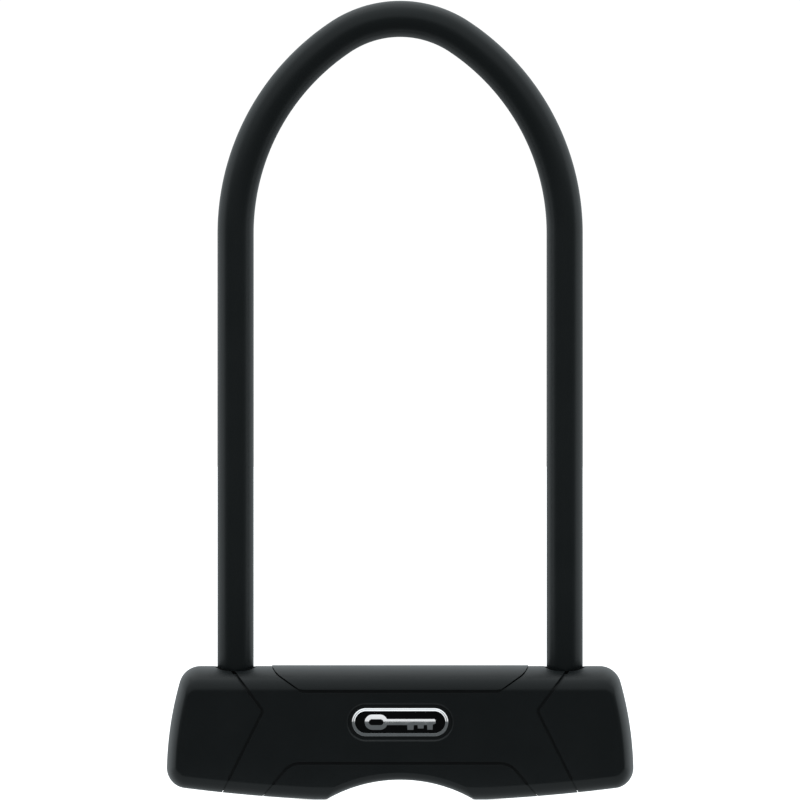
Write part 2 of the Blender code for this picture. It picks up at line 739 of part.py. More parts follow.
def make_bolts():
    """Each bolt has a nose for the foot's notch and a tail with a slot across it."""
    slack = 0.15 * MM
    pin_x = -crank_offset()
    slot_half = CRANK_PIN_RADIUS + slack
    tail_end = pin_x - slot_half - 1.4 * MM
    tail_inner = 0.35 * MM
    slot_outer = CRANK_RADIUS + slot_half
    for side, word in ((-1, "left"), (1, "right")):
        bolt = box(
            (BOLT_SHOULDER_X, -BOLT_HALF_WIDTH, BOLT_BOTTOM_Z),
            (BOLT_TIP_X, BOLT_HALF_WIDTH, BOLT_TOP_Z),
            bevel_axis=1,
            bevel=0.8 * MM,
            segments=1,
        )
        tail = box(
            (tail_end, tail_inner, BOLT_BOTTOM_Z),
            (BOLT_SHOULDER_X + 2 * MM, BOLT_HALF_WIDTH, BOLT_TOP_Z),
        )
        slot = box(
            (pin_x - slot_half, -1 * MM, BOLT_BOTTOM_Z - 1 * MM),
            (pin_x + slot_half, slot_outer, BOLT_TOP_Z + 1 * MM),
        )
        join(bolt, tail)
        cut(bolt, slot)
        adopt(bolt, f"{word}_bolt", "steel")
        if side < 0:
            half_turn = Matrix.Rotation(math.pi, 4, "Z")
            for piece in (bolt, tail, slot):
                piece.data.transform(half_turn)


# ------------------------------------------------------------------------- key cylinder


def make_cylinder():
    body = turned(
        [
            (CYLINDER_RADIUS, CYLINDER_TOP_Z),
            (CYLINDER_RADIUS, CYLINDER_BOTTOM_Z),
            (7.1 * MM, CYLINDER_BOTTOM_Z),
            (7.1 * MM, PLUG_BOTTOM_Z - 0.1 * MM),
            (PLUG_RADIUS + 0.2 * MM, PLUG_BOTTOM_Z - 0.1 * MM),
            (PLUG_RADIUS + 0.2 * MM, CYLINDER_TOP_Z),
        ]
    )
    reach = PLUG_RADIUS + WAFER_TRAVEL
    half = WAFER_WIDTH / 2 + GAP
    z_low, z_high = PLUG_BOTTOM_Z - 0.5 * MM, CYLINDER_TOP_Z - 1 * MM
    cut(body, box((-reach, -half, z_low), (reach, half, z_high)))
    cut(body, box((-half, -reach, z_low), (half, reach, z_high)))
    for side in (-1, 1):
        x = side * CYLINDER_PIN_X
        cut(body, cross_pin(PIN_RADIUS + GAP, 30 * MM, x, CYLINDER_PIN_Z))
    smooth(adopt(body, "cylinder_body", "brass"))

    for side, word in ((-1, "left"), (1, "right")):
        pin = cross_pin(PIN_RADIUS, PIN_LENGTH, side * CYLINDER_PIN_X, CYLINDER_PIN_Z)
        smooth(adopt(pin, f"{word}_cylinder_pin", "steel"))


def make_plug():
    groove_low, groove_high = CYLINDER_TOP_Z + 0.2 * MM, CYLINDER_TOP_Z + 0.95 * MM
    groove_r = PLUG_RADIUS - 0.9 * MM
    plug = turned(
        [
            (0.0, PLUG_TOP_Z),
            (PLUG_RADIUS, PLUG_TOP_Z),
            (PLUG_RADIUS, groove_high),
            (groove_r, groove_high),
            (groove_r, groove_low),
            (PLUG_RADIUS, groove_low),
            (PLUG_RADIUS, PLUG_BOTTOM_Z),
            (0.0, PLUG_BOTTOM_Z),
        ]
    )
    half = TANG_SIZE / 2
    join(plug, box((-half, -half, PLUG_TOP_Z - 1 * MM), (half, half, CAM_TOP_Z - 0.9 * MM)))
    long, wide = KEYWAY[0] / 2, KEYWAY[1] / 2
    cut(plug, box((-long, -wide, 10 * MM), (long, wide, CYLINDER_TOP_Z - 1 * MM)))
    for number in range(WAFERS):
        z = wafer_z(number)
        side = wafer_side(number)
        slot_half, slot_thick = WAFER_WIDTH / 2 + 0.15 * MM, WAFER_THICKNESS / 2 + 0.15 * MM
        cut(
            plug,
            box((-7 * MM, -slot_half, z - slot_thick), (7 * MM, slot_half, z + slot_thick)),
            spring_pocket(side, z),
        )
    smooth(adopt(plug, "plug", "brass"))

    guard = turned(
        [
            (0.0, PLUG_BOTTOM_Z - 0.3 * MM),
            (6.8 * MM, PLUG_BOTTOM_Z - 0.3 * MM),
            (6.8 * MM, CYLINDER_BOTTOM_Z + 0.5 * MM),
            (6.3 * MM, CYLINDER_BOTTOM_Z + 0.1 * MM),
            (0.0, CYLINDER_BOTTOM_Z + 0.1 * MM),
        ]
    )
    cut(guard, box((-long, -wide, 10 * MM), (long, wide, 15 * MM)))
    smooth(adopt(guard, "drill_guard", "steel"))

    clip_low = groove_low + 0.1 * MM
    clip_high = groove_high - 0.1 * MM
    inner, outer = groove_r + 0.15 * MM, PLUG_RADIUS + 1.1 * MM
    clip = turned([(outer, clip_high), (outer, clip_low), (inner, clip_low), (inner, clip_high)])
    cut(clip, box((0.0, -3 * MM, clip_low - 1 * MM), (9 * MM, 3 * MM, clip_high + 1 * MM)))
    smooth(adopt(clip, "plug_clip", "steel"))


def wafer_z(number):
    return FIRST_WAFER_Z + number * WAFER_PITCH


def wafer_side(number):
    """Odd and even wafers spring out on opposite sides of the plug."""
    return 1 if number % 2 == 0 else -1


def half_turned(obj, side):
    if side < 0:
        obj.data.transform(Matrix.Rotation(math.pi, 4, "Z"))
    return obj


def spring_pocket(side, z):
    reach = 0.85 * MM
    pocket = box((-3.7 * MM, 2.4 * MM, z - reach), (2.7 * MM, 4.2 * MM, z + reach))
    return half_turned(pocket, side)


def make_wafers():
    """Each wafer springs towards -X, or +X where side is -1, by WAFER_TRAVEL."""
    for number in range(WAFERS):
        z = wafer_z(number)
        side = wafer_side(number)
        thick = WAFER_THICKNESS / 2
        wafer = cylinder(PLUG_RADIUS - 0.15 * MM, z - thick, z + thick)
        wide = WAFER_WIDTH / 2
        keep_inside(
            wafer, box((-7 * MM, -wide, z - 2 * MM), (7 * MM, wide, z + 2 * MM))
        )
        shift = BITTING[number] * MM
        window = box(
            (-3.6 * MM + shift, -1.5 * MM, z - 2 * MM), (3.6 * MM + shift, 1.5 * MM, z + 2 * MM)
        )
        lug = box((-2.6 * MM, 2.0 * MM, z - thick), (-1.5 * MM, 3.9 * MM, z + thick))
        cut(wafer, window)
        join(wafer, half_turned(lug, side))
        adopt(wafer, f"wafer_{number + 1}", "nickel")

        points = helix((0.0, 3.25 * MM, z), 0.5 * MM, -1.25 * MM, 2.45 * MM, 4, 7)
        spring = rod([(side * x, side * y, h) for x, y, h in points], 0.12 * MM, 2)
        smooth_curve(adopt(spring, f"wafer_spring_{number + 1}", "steel"))


def helix(centre, radius, x_low, x_high, turns, per_turn):
    """Points of a coil that runs along X."""
    count = turns * per_turn
    points = []
    for i in range(count + 1):
        angle = 2 * math.pi * i / per_turn
        x = x_low + (x_high - x_low) * i / count
        y = centre[1] + radius * math.cos(angle)
        points.append((x, y, centre[2] + radius * math.sin(angle)))
    return points


def smooth_curve(obj):
    for spline in obj.data.splines:
        spline.use_smooth = True
    return obj


# --------------------------------------------------------------------- keyhole shutter


def make_shutter():
    bezel_low, bezel_high = THUMB_HEIGHT + 0.15 * MM, 9.1 * MM
    inner = SHUTTER_RADIUS + 0.25 * MM
    bezel = turned(
        [
            (BEZEL_RADIUS, bezel_high),
            (BEZEL_RADIUS, bezel_low + 0.3 * MM),
            (BEZEL_RADIUS - 0.3 * MM, bezel_low),
            (inner + 0.3 * MM, bezel_low),
            (inner, bezel_low + 0.3 * MM),
            (inner, bezel_high),
        ]
    )
    smooth(adopt(bezel, "keyhole_bezel", "gloss"))

    flange_low, flange_high = 9.4 * MM, 10.1 * MM
    flange = BEZEL_RADIUS - 0.4 * MM
    face = bezel_low + 0.4 * MM
    shutter = turned(
        [
            (0.0, flange_high),
            (flange, flange_high),
            (flange, flange_low),
            (SHUTTER_RADIUS, flange_low),
            (SHUTTER_RADIUS, face + 0.25 * MM),
            (SHUTTER_RADIUS - 0.25 * MM, face),
            (0.0, face),
        ]
    )
    long, wide = SHUTTER_SLOT[0] / 2, SHUTTER_SLOT[1] / 2
    cut(shutter, box((-long, -wide, 5 * MM), (long, wide, 12 * MM)))
    smooth(adopt(shutter, "keyhole_shutter", "acetal"))

    coil_low, coil_high = 10.65 * MM, 11.5 * MM
    turns, per_turn = 2, 20
    points = []
    for i in range(turns * per_turn + 1):
        angle = 2 * math.pi * i / per_turn
        z = coil_low + (coil_high - coil_low) * i / (turns * per_turn)
        points.append((6.6 * MM * math.cos(angle), 6.6 * MM * math.sin(angle), z))
    spring = rod(points, 0.17 * MM, 2)
    smooth_curve(adopt(spring, "shutter_spring", "steel"))


clear_scene()
PARTS = new_collection("u_lock")
CUTTERS = new_collection("cutters")
MATERIALS = make_materials()
make_shackle()
make_casing()
make_badge()
make_crossbar()
make_end_fittings()
make_bolt_guides()
make_cam()
make_bolts()
make_cylinder()
make_plug()
make_wafers()
make_shutter()
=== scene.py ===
"""The looks of a bicycle u-lock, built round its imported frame.

Every casing piece is cut from one smooth form, so that their surfaces run on across
the split lines. The shackle, the seals, the badge and the keyhole are fine versions of
their nodes. The mechanism inside keeps its nodes, with the finish of each metal.
"""

import math

import bmesh
import bpy
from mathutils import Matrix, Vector
from mathutils.bvhtree import BVHTree
from mathutils.interpolate import poly_3d_calc


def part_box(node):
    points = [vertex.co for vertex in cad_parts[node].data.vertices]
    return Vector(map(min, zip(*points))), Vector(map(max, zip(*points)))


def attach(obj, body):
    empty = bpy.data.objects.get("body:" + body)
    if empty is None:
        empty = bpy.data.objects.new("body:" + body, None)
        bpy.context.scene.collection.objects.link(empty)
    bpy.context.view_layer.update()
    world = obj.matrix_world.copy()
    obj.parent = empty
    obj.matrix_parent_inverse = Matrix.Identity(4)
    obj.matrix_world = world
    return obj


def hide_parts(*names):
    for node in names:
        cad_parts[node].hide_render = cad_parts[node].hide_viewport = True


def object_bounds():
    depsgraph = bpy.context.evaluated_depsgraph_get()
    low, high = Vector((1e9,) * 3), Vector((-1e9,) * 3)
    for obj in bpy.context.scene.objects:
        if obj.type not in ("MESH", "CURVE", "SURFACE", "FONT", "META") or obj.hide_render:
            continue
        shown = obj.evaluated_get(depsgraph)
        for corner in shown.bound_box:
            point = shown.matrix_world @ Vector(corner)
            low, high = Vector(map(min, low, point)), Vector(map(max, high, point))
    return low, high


MM = 0.001

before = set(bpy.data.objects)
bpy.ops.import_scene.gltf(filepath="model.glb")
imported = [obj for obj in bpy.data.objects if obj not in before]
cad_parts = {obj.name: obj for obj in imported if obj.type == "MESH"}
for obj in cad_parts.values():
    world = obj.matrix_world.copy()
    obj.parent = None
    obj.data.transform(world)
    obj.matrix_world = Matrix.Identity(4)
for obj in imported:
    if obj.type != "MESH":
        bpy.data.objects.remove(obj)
cad_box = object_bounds()

# Shackle: two straight legs, two shoulders and a tighter crown, all tangent to each other
LEG_X = 60.55 * MM
SHOULDER_Z = 208.3 * MM
SHOULDER_RADIUS = 86.8 * MM
CROWN_RADIUS = 39.5 * MM
BAR_RADIUS = 6.0 * MM
SLEEVE_RADIUS = 6.675 * MM
SLEEVE_WALL = 0.55 * MM
SLEEVE_BEVEL = 0.25 * MM
SLEEVE_END_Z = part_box("shackle_sleeve")[0].z
FOOT_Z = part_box("shackle_bar")[0].z
FOOT_CHAMFER = 1.4 * MM
NOTCH_LOW_Z, NOTCH_HIGH_Z = 32.5 * MM, 39.5 * MM
NOTCH_DEPTH = 4.6 * MM

# Casing silhouette, and the rounding between it and the flat faces: how far each reaches
# in over the face, and how deep
HALF_WIDTH = 85.9 * MM
TOP_Z = 49.05 * MM
HALF_DEPTH = 15.0 * MM
WIDEST_Z = 8.6 * MM
SIDE_RADIUS = 127.0 * MM
BOTTOM_RADIUS = 630.0 * MM
TOP_CORNER_RADIUS = 8.0 * MM
BOTTOM_CORNER_RADIUS = 7.5 * MM
TOE_X = 31.5 * MM
TOE_RADIUS = 3.0 * MM
THUMB_RADIUS = 54.0 * MM
THUMB_HEIGHT = 7.28 * MM
CASING_WALL = 2.3 * MM
TRIM_RISE = 0.3 * MM
TOP_ROUND, TOP_ROUND_DEPTH = 9.2 * MM, 14.7 * MM
SIDE_ROUND, SIDE_ROUND_DEPTH = 4.5 * MM, 12.0 * MM
BOTTOM_ROUND, BOTTOM_ROUND_DEPTH = 4.9 * MM, 7.0 * MM
THUMB_ROUND, THUMB_ROUND_DEPTH = 3.0 * MM, 4.5 * MM
FACE_CORNER_RADIUS = 3.0 * MM

# Split lines on the right half, as (x, z, rounding of that corner) in mm. The groove
# along each is half as wide as its list says, up to a height, and below the flat face
# it is a hairline. Its floor is a ledge of the centre cover, on which the neighbours lie.
END_SPLIT = [(71.2, 60.0, 0.0), (50.35, 32.65, 2.0), (69.25, -5.0, 0.0)]
TOP_SPLIT = [(36.37, 39.75, 4.0), (47.7, 47.75, 8.6), (47.7, 60.0, 0.0)]
BOTTOM_SPLIT = [(40.29, 13.4, 8.0), (55.8, -5.0, 0.0), (55.8, -15.0, 0.0)]
END_GROOVE = [(38.5 * MM, 0.53 * MM), (80.0 * MM, 0.62 * MM)]
TOP_GROOVE = [(40.3 * MM, 0.55 * MM), (46.6 * MM, 0.26 * MM), (48.3 * MM, 0.18 * MM)]
TOP_GROOVE += [(80.0 * MM, 0.04 * MM)]
BOTTOM_GROOVE = [(80.0 * MM, 0.55 * MM)]
HAIRLINE = 0.1 * MM
EDGE_ROUND = 0.05 * MM
LEDGE_REACH = 1.2 * MM
LEDGE_INSET, LEDGE_SINK, LEDGE_RISE = 0.8 * MM, 1.8 * MM, 0.35 * MM
LEDGE_PLAY = 0.1 * MM
CLEAR = 5.0 * MM  # how far a cutter stands out of the casing

# Legs' holes, and the seals in them
LEG_HOLE_RADIUS = 7.85 * MM
LEG_HOLE_FRONT = 9.1 * MM
LEG_HOLE_POWER = 2 / 2.6
LEG_HOLE_ROUND = 0.05 * MM
LEG_HOLE_DEPTH = 9.0 * MM
SEAL_RADIUS, SEAL_BEVEL = 8.3 * MM, 0.15 * MM
LIP_RADIUS, LIP_ROUND = 6.4 * MM, 0.35 * MM
NECK_RADIUS, NECK_BORE, NECK_BEVEL = 7.7 * MM, 6.85 * MM, 0.1 * MM
NECK_DROP = 0.12 * MM

# Badge
BADGE_Z = 28.55 * MM
BADGE_WIDTH, BADGE_HEIGHT = 35.4 * MM, 10.3 * MM
BADGE_RIM = 1.1 * MM
BADGE_EDGE, BADGE_BEAD, BADGE_GAP = 0.03 * MM, 0.125 * MM, 0.15 * MM
BADGE_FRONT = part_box("badge_rim")[0].y
BADGE_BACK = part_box("badge_rim")[1].y
BADGE_CROWN = 27.0 * MM
RECESS_MARGIN = 1.3 * MM
RECESS_CHAMFER = 0.6 * MM
RECESS_DEPTH = 1.3 * MM

# Keyhole
BEZEL_RADIUS = 8.6 * MM
BEZEL_LIP = 0.35 * MM
SHUTTER_RADIUS = 7.1 * MM
SHUTTER_FLANGE_Z = 9.4 * MM
SHUTTER_ROUND = 0.3 * MM
SLOT_LENGTH, SLOT_WIDTH = 9.0 * MM, 3.0 * MM

# Studio
STUDIO_TINT = (0.92, 1.0, 1.03)


# ------------------------------------------------------------------------ mesh helpers


def mesh_object(name, verts, faces):
    """A new object in the scene, with its faces turned outwards."""
    mesh = bpy.data.meshes.new(name)
    mesh.from_pydata(verts, [], faces)
    mesh.update()
    obj = bpy.data.objects.new(name, mesh)
    bpy.context.scene.collection.objects.link(obj)
    bm = bmesh.new()
    bm.from_mesh(mesh)
    bmesh.ops.recalc_face_normals(bm, faces=bm.faces)
    bm.to_mesh(mesh)
    bm.free()
    return obj


def smooth(obj, angle=32):
    """Shades an object smooth, with sharp edges where its faces meet at more than angle."""
    obj.data.shade_smooth()
    obj.data.set_sharp_from_angle(angle=math.radians(angle))
    return obj


def loft(name, rings, closed=False):
    """Skins rings of points. closed joins the last ring to the first, otherwise both are capped."""
    count = len(rings[0])
    verts = [point for ring in rings for point in ring]
    faces = []
    for r in range(len(rings) if closed else len(rings) - 1):
        first, second = r * count, (r + 1) % len(rings) * count
        for i in range(count):
            j = (i + 1) % count
            faces.append((first + i, first + j, second + j, second + i))
    if not closed:
        faces += [tuple(range(count)), tuple(range(len(verts) - count, len(verts)))]
    return mesh_object(name, verts, faces)


def carve(obj, operation, *tools):
    """Applies a Boolean with each tool in turn, and removes the tools."""
    for tool in tools:
        modifier = obj.modifiers.new("carve", "BOOLEAN")
        modifier.operation = operation
        modifier.object = tool
        modifier.solver = "EXACT"
    bpy.context.view_layer.update()
    graph = bpy.context.evaluated_depsgraph_get()
    carved = bpy.data.meshes.new_from_object(obj.evaluated_get(graph))
    obj.modifiers.clear()
    obj.data = carved
    for tool in tools:
        bpy.data.objects.remove(tool)
    return obj


def arc(cx, cz, radius, start, end, steps):
    """Points along a circle, with both ends."""
    angles = (start + (end - start) * i / steps for i in range(steps + 1))
    return [(cx + radius * math.cos(a), cz + radius * math.sin(a)) for a in angles]


def ease(first, last, count):
    """Values that go from first to last, slowly at both ends."""
    shares = (i / (count - 1) for i in range(count))
    return [first + (last - first) * s * s * (3 - 2 * s) for s in shares]


def stadium(width, height, z, steps=24):
    """The outline of a bar with round ends, round x = 0 at a height."""
    radius = height / 2
    reach = width / 2 - radius
    right = arc(reach, z, radius, math.pi / 2, -math.pi / 2, steps)
    left = arc(-reach, z, radius, -math.pi / 2, -3 * math.pi / 2, steps)
    return right + left


def at_depth(outline, y):
    """An (x, z) outline as points in a plane across Y."""
    return [(x, y, z) for x, z in outline]


def lathe(name, profile, x=0.0, y=0.0, steps=96):
    """A closed profile of (radius, z) points turned about a vertical axis."""
    rings = []
    for i in range(steps):
        angle = 2 * math.pi * i / steps
        c, s = math.cos(angle), math.sin(angle)
        rings.append([(x + r * c, y + r * s, z) for r, z in profile])
    obj = loft(name, rings, closed=True)
    bm = bmesh.new()
    bm.from_mesh(obj.data)
    bmesh.ops.remove_doubles(bm, verts=bm.verts, dist=0.1 * MM * MM)
    bmesh.ops.recalc_face_normals(bm, faces=bm.faces)
    bm.to_mesh(obj.data)
    bm.free()
    return obj


def block(name, low, high):
    """A box between two corners."""
    corners = [(low[0], low[2]), (high[0], low[2]), (high[0], high[2]), (low[0], high[2])]
    return loft(name, [at_depth(corners, low[1]), at_depth(corners, high[1])])


def finish(obj, body, material, *nodes):
    """Gives a piece its finish, its body and the nodes it stands for."""
    obj.data.materials.clear()
    obj.data.materials.append(material)
    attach(obj, body)
    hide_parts(*nodes)
    return obj


# --------------------------------------------------------------------------- materials


class Finish:
    """A Principled material and the nodes that feed it, in the piece's own coordinates."""

    def __init__(self, name, metallic=0.0):
        self.material = bpy.data.materials.new(name)
        self.material.use_nodes = True
        self.tree = self.material.node_tree
        self.shader = self.tree.nodes["Principled BSDF"]
        self.shader.inputs["Metallic"].default_value = metallic
        self.coords = self.tree.nodes.new("ShaderNodeTexCoord").outputs["Object"]

    def link(self, output, socket):
        self.tree.links.new(output, self.shader.inputs[socket])

    def texture(self, kind, size, stretch=(1, 1, 1)):
        """A texture whose grains are about size across, drawn out along an axis by stretch."""
        mapping = self.tree.nodes.new("ShaderNodeMapping")
        mapping.inputs["Scale"].default_value = [1 / (size * s) for s in stretch]
        self.tree.links.new(self.coords, mapping.inputs["Vector"])
        node = self.tree.nodes.new(kind)
        node.inputs["Scale"].default_value = 1.0
        self.tree.links.new(mapping.outputs["Vector"], node.inputs["Vector"])
        return node

    def noise(self, size, detail=3.0, stretch=(1, 1, 1)):
        node = self.texture("ShaderNodeTexNoise", size, stretch)
        node.inputs["Detail"].default_value = detail
        return node.outputs["Fac"]

    def cells(self, size):
        return self.texture("ShaderNodeTexVoronoi", size).outputs["Distance"]

    def scaled(self, value, low, high, from_low=0.3, from_high=0.7):
        """A value between two others, moved to lie between low and high."""
        node = self.tree.nodes.new("ShaderNodeMapRange")
        node.inputs["From Min"].default_value = from_low
        node.inputs["From Max"].default_value = from_high
        node.inputs["To Min"].default_value = low
        node.inputs["To Max"].default_value = high
        self.tree.links.new(value, node.inputs["Value"])
        return node.outputs["Result"]

    def colours(self, value, *stops):
        """A colour ramp over value, from (place, colour) stops."""
        node = self.tree.nodes.new("ShaderNodeValToRGB")
        while len(node.color_ramp.elements) < len(stops):
            node.color_ramp.elements.new(0.5)
        for element, (place, colour) in zip(node.color_ramp.elements, stops):
            element.position = place
            element.color = (*colour, 1.0)
        self.tree.links.new(value, node.inputs["Fac"])
        self.link(node.outputs["Color"], "Base Color")

    def bump(self, height, depth, strength=1.0):
        node = self.tree.nodes.new("ShaderNodeBump")
        node.inputs["Distance"].default_value = depth
        node.inputs["Strength"].default_value = strength
        self.tree.links.new(height, node.inputs["Height"])
        self.link(node.outputs["Normal"], "Normal")


def moulded_plastic():
    """Black moulded plastic: a fine spark-eroded grain, a little uneven in its gloss."""
    look = Finish("moulded_plastic")
    clouds = look.noise(14 * MM, 4.0)
    grain = look.noise(0.16 * MM, 2.0)
    look.colours(clouds, (0.3, (0.0078, 0.0108, 0.0116)), (0.7, (0.0090, 0.0120, 0.0128)))
    look.link(look.scaled(clouds, 0.28, 0.33), "Roughness")
    look.bump(grain, 0.012 * MM, 0.5)
    return look.material


def coated_sleeve():
    """The shackle's coat: smoother than the casing, with the faint ripple of dipped vinyl."""
    look = Finish("shackle_coat")
    clouds = look.noise(20 * MM, 3.0)
    ripple = look.noise(1.4 * MM, 2.0)
    look.colours(clouds, (0.3, (0.0138, 0.0178, 0.0187)), (0.7, (0.0150, 0.0190, 0.0199)))
    look.link(look.scaled(clouds, 0.28, 0.33), "Roughness")
    look.bump(ripple, 0.02 * MM, 0.3)
    return look.material


def chrome():
    """Polished chrome, with a slight haze and the waves of a moulded base."""
    look = Finish("polished_chrome", metallic=1.0)
    haze = look.noise(3 * MM, 4.0)
    look.colours(haze, (0.3, (0.80, 0.82, 0.84)), (0.7, (0.86, 0.87, 0.88)))
    look.link(look.scaled(haze, 0.05, 0.10), "Roughness")
    look.bump(look.noise(0.9 * MM, 1.0), 0.002 * MM, 0.4)
    return look.material


def gloss_black():
    """Glossy black plastic behind a clear face that reflects little."""
    look = Finish("gloss_black")
    haze = look.noise(4 * MM, 4.0)
    look.colours(haze, (0.3, (0.0025, 0.0030, 0.0034)), (0.7, (0.0035, 0.0040, 0.0044)))
    look.link(look.scaled(haze, 0.10, 0.18), "Roughness")
    look.shader.inputs["Specular IOR Level"].default_value = 0.25
    return look.material


def hardened_steel():
    """Ground steel, with fine lines along X and Y and a trace of tempering colour."""
    look = Finish("hardened_steel", metallic=1.0)
    clouds = look.noise(9 * MM, 4.0)
    lines = look.noise(0.12 * MM, 2.0, stretch=(1, 1, 14))
    look.colours(
        clouds,
        (0.30, (0.34, 0.34, 0.35)),
        (0.52, (0.47, 0.46, 0.45)),
        (0.75, (0.40, 0.41, 0.43)),
    )
    look.link(look.scaled(lines, 0.24, 0.40), "Roughness")
    look.bump(lines, 0.006 * MM, 0.5)
    return look.material


def blackened_steel():
    """Phosphated steel: matt, blotchy, with a crystalline grain."""
    look = Finish("blackened_steel", metallic=0.8)
    blotches = look.noise(5 * MM, 5.0)
    crystals = look.cells(0.35 * MM)
    look.colours(blotches, (0.3, (0.022, 0.022, 0.024)), (0.7, (0.050, 0.049, 0.050)))
    look.link(look.scaled(crystals, 0.48, 0.66, 0.0, 0.8), "Roughness")
    look.bump(crystals, 0.015 * MM, 0.5)
    return look.material


def turned_brass():
    """Brass, with the fine rings that turning leaves."""
    look = Finish("turned_brass", metallic=1.0)
    clouds = look.noise(4 * MM, 4.0)
    lines = look.noise(0.10 * MM, 2.0, stretch=(16, 16, 1))
    look.colours(clouds, (0.3, (0.60, 0.42, 0.18)), (0.7, (0.74, 0.55, 0.27)))
    look.link(look.scaled(lines, 0.20, 0.36), "Roughness")
    look.bump(lines, 0.008 * MM, 0.5)
    return look.material


def nickel_silver():
    """The wafers' yellowish white metal, brushed along them."""
    look = Finish("nickel_silver", metallic=1.0)
    clouds = look.noise(2 * MM, 4.0)
    lines = look.noise(0.08 * MM, 2.0, stretch=(12, 1, 1))
    look.colours(clouds, (0.3, (0.50, 0.48, 0.42)), (0.7, (0.62, 0.60, 0.54)))
    look.link(look.scaled(lines, 0.22, 0.34), "Roughness")
    look.bump(lines, 0.005 * MM, 0.5)
    return look.material


def rubber(name, clean, dusty, gloss=0.5):
    """Matt rubber with a little dust, from one grey to another."""
    look = Finish(name)
    dust = look.noise(1.2 * MM, 5.0)
    look.colours(dust, (0.35, (clean, clean, clean)), (0.75, (dusty, dusty, dusty)))
    look.link(look.scaled(dust, 0.66, 0.84), "Roughness")
    look.shader.inputs["Specular IOR Level"].default_value = gloss
    look.bump(look.noise(0.2 * MM, 3.0), 0.02 * MM, 0.6)
    return look.material


def acetal():
    """Black engineering plastic with a waxy gloss."""
    look = Finish("acetal")
    clouds = look.noise(3 * MM, 3.0)
    look.colours(clouds, (0.3, (0.016, 0.017, 0.018)), (0.7, (0.022, 0.023, 0.024)))
    look.link(look.scaled(clouds, 0.36, 0.48), "Roughness")
    look.bump(look.noise(0.3 * MM, 2.0), 0.01 * MM, 0.4)
    return look.material


# ------------------------------------------------------------------------------ casing


def circle_meeting(c1, r1, c2, r2):
    """The lower right point where two circles cross."""
    dx, dz = c2[0] - c1[0], c2[1] - c1[1]
    apart = math.hypot(dx, dz)
    along = (r1**2 - r2**2 + apart**2) / (2 * apart)
    across = math.sqrt(r1**2 - along**2)
    ux, uz = dx / apart, dz / apart
    return c1[0] + ux * along + uz * across, c1[1] + uz * along - ux * across


def casing_outline(inset_top, inset_side, inset_bottom, inset_thumb, top_r, bottom_r):
    """The right half of a silhouette, from the top's middle to the thumb recess's middle.

    It returns (x, z, depth of the rounding) for each point. Every call gives the same
    number of points, so that two outlines can be joined.
    """
    side_x = HALF_WIDTH - SIDE_RADIUS
    side_r = SIDE_RADIUS - inset_side
    top_z = TOP_Z - inset_top
    bottom_z = BOTTOM_RADIUS - TOE_X**2 / (2 * BOTTOM_RADIUS)
    bottom_r_long = BOTTOM_RADIUS - inset_bottom

    corner_z = top_z - top_r
    corner_x = side_x + math.sqrt((side_r - top_r) ** 2 - (corner_z - WIDEST_Z) ** 2)
    leave = math.atan2(corner_z - WIDEST_Z, corner_x - side_x)
    low_x, low_z = circle_meeting(
        (side_x, WIDEST_Z), side_r - bottom_r, (0.0, bottom_z), bottom_r_long - bottom_r
    )
    meet_side = math.atan2(low_z - WIDEST_Z, low_x - side_x)
    meet_bottom = math.atan2(low_z - bottom_z, low_x)
    toe_end = math.asin(TOE_X / bottom_r_long) - math.pi / 2

    thumb_z = THUMB_HEIGHT - THUMB_RADIUS
    thumb_r = THUMB_RADIUS + inset_thumb
    toe_z = inset_bottom + TOE_RADIUS
    toe_x = math.sqrt((thumb_r + TOE_RADIUS) ** 2 - (toe_z - thumb_z) ** 2)
    thumb_start = math.atan2(toe_z - thumb_z, toe_x)

    top = [(corner_x * share, top_z) for share in (0.0, 0.3, 0.6, 0.8, 0.95)]
    top_corner = arc(corner_x, corner_z, top_r, math.pi / 2, leave, 18)
    side = arc(side_x, WIDEST_Z, side_r, leave, meet_side, 12)[1:-1]
    low_corner = arc(low_x, low_z, bottom_r, meet_side, meet_bottom, 18)
    bottom = arc(0.0, bottom_z, bottom_r_long, meet_bottom, toe_end, 10)[1:]
    toe = arc(toe_x, toe_z, TOE_RADIUS, -math.pi / 2, thumb_start - math.pi, 8)
    thumb = arc(0.0, thumb_z, thumb_r, thumb_start, math.pi / 2, 24)[1:]

    deep = [TOP_ROUND_DEPTH] * len(top)
    deep += ease(TOP_ROUND_DEPTH, SIDE_ROUND_DEPTH, len(top_corner))
    deep += [SIDE_ROUND_DEPTH] * len(side)
    deep += ease(SIDE_ROUND_DEPTH, BOTTOM_ROUND_DEPTH, len(low_corner))
    deep += [BOTTOM_ROUND_DEPTH] * len(bottom)
    deep += ease(BOTTOM_ROUND_DEPTH, THUMB_ROUND_DEPTH, len(toe) + len(thumb))
    points = top + top_corner + side + low_corner + bottom + toe + thumb
    return [(x, z, d) for (x, z), d in zip(points, deep)]


def both_sides(half):
    """A closed outline from its right half, whose ends lie on the middle."""
    left = [(-x, *rest) for x, *rest in half[1:-1]]
    return half + left[::-1]


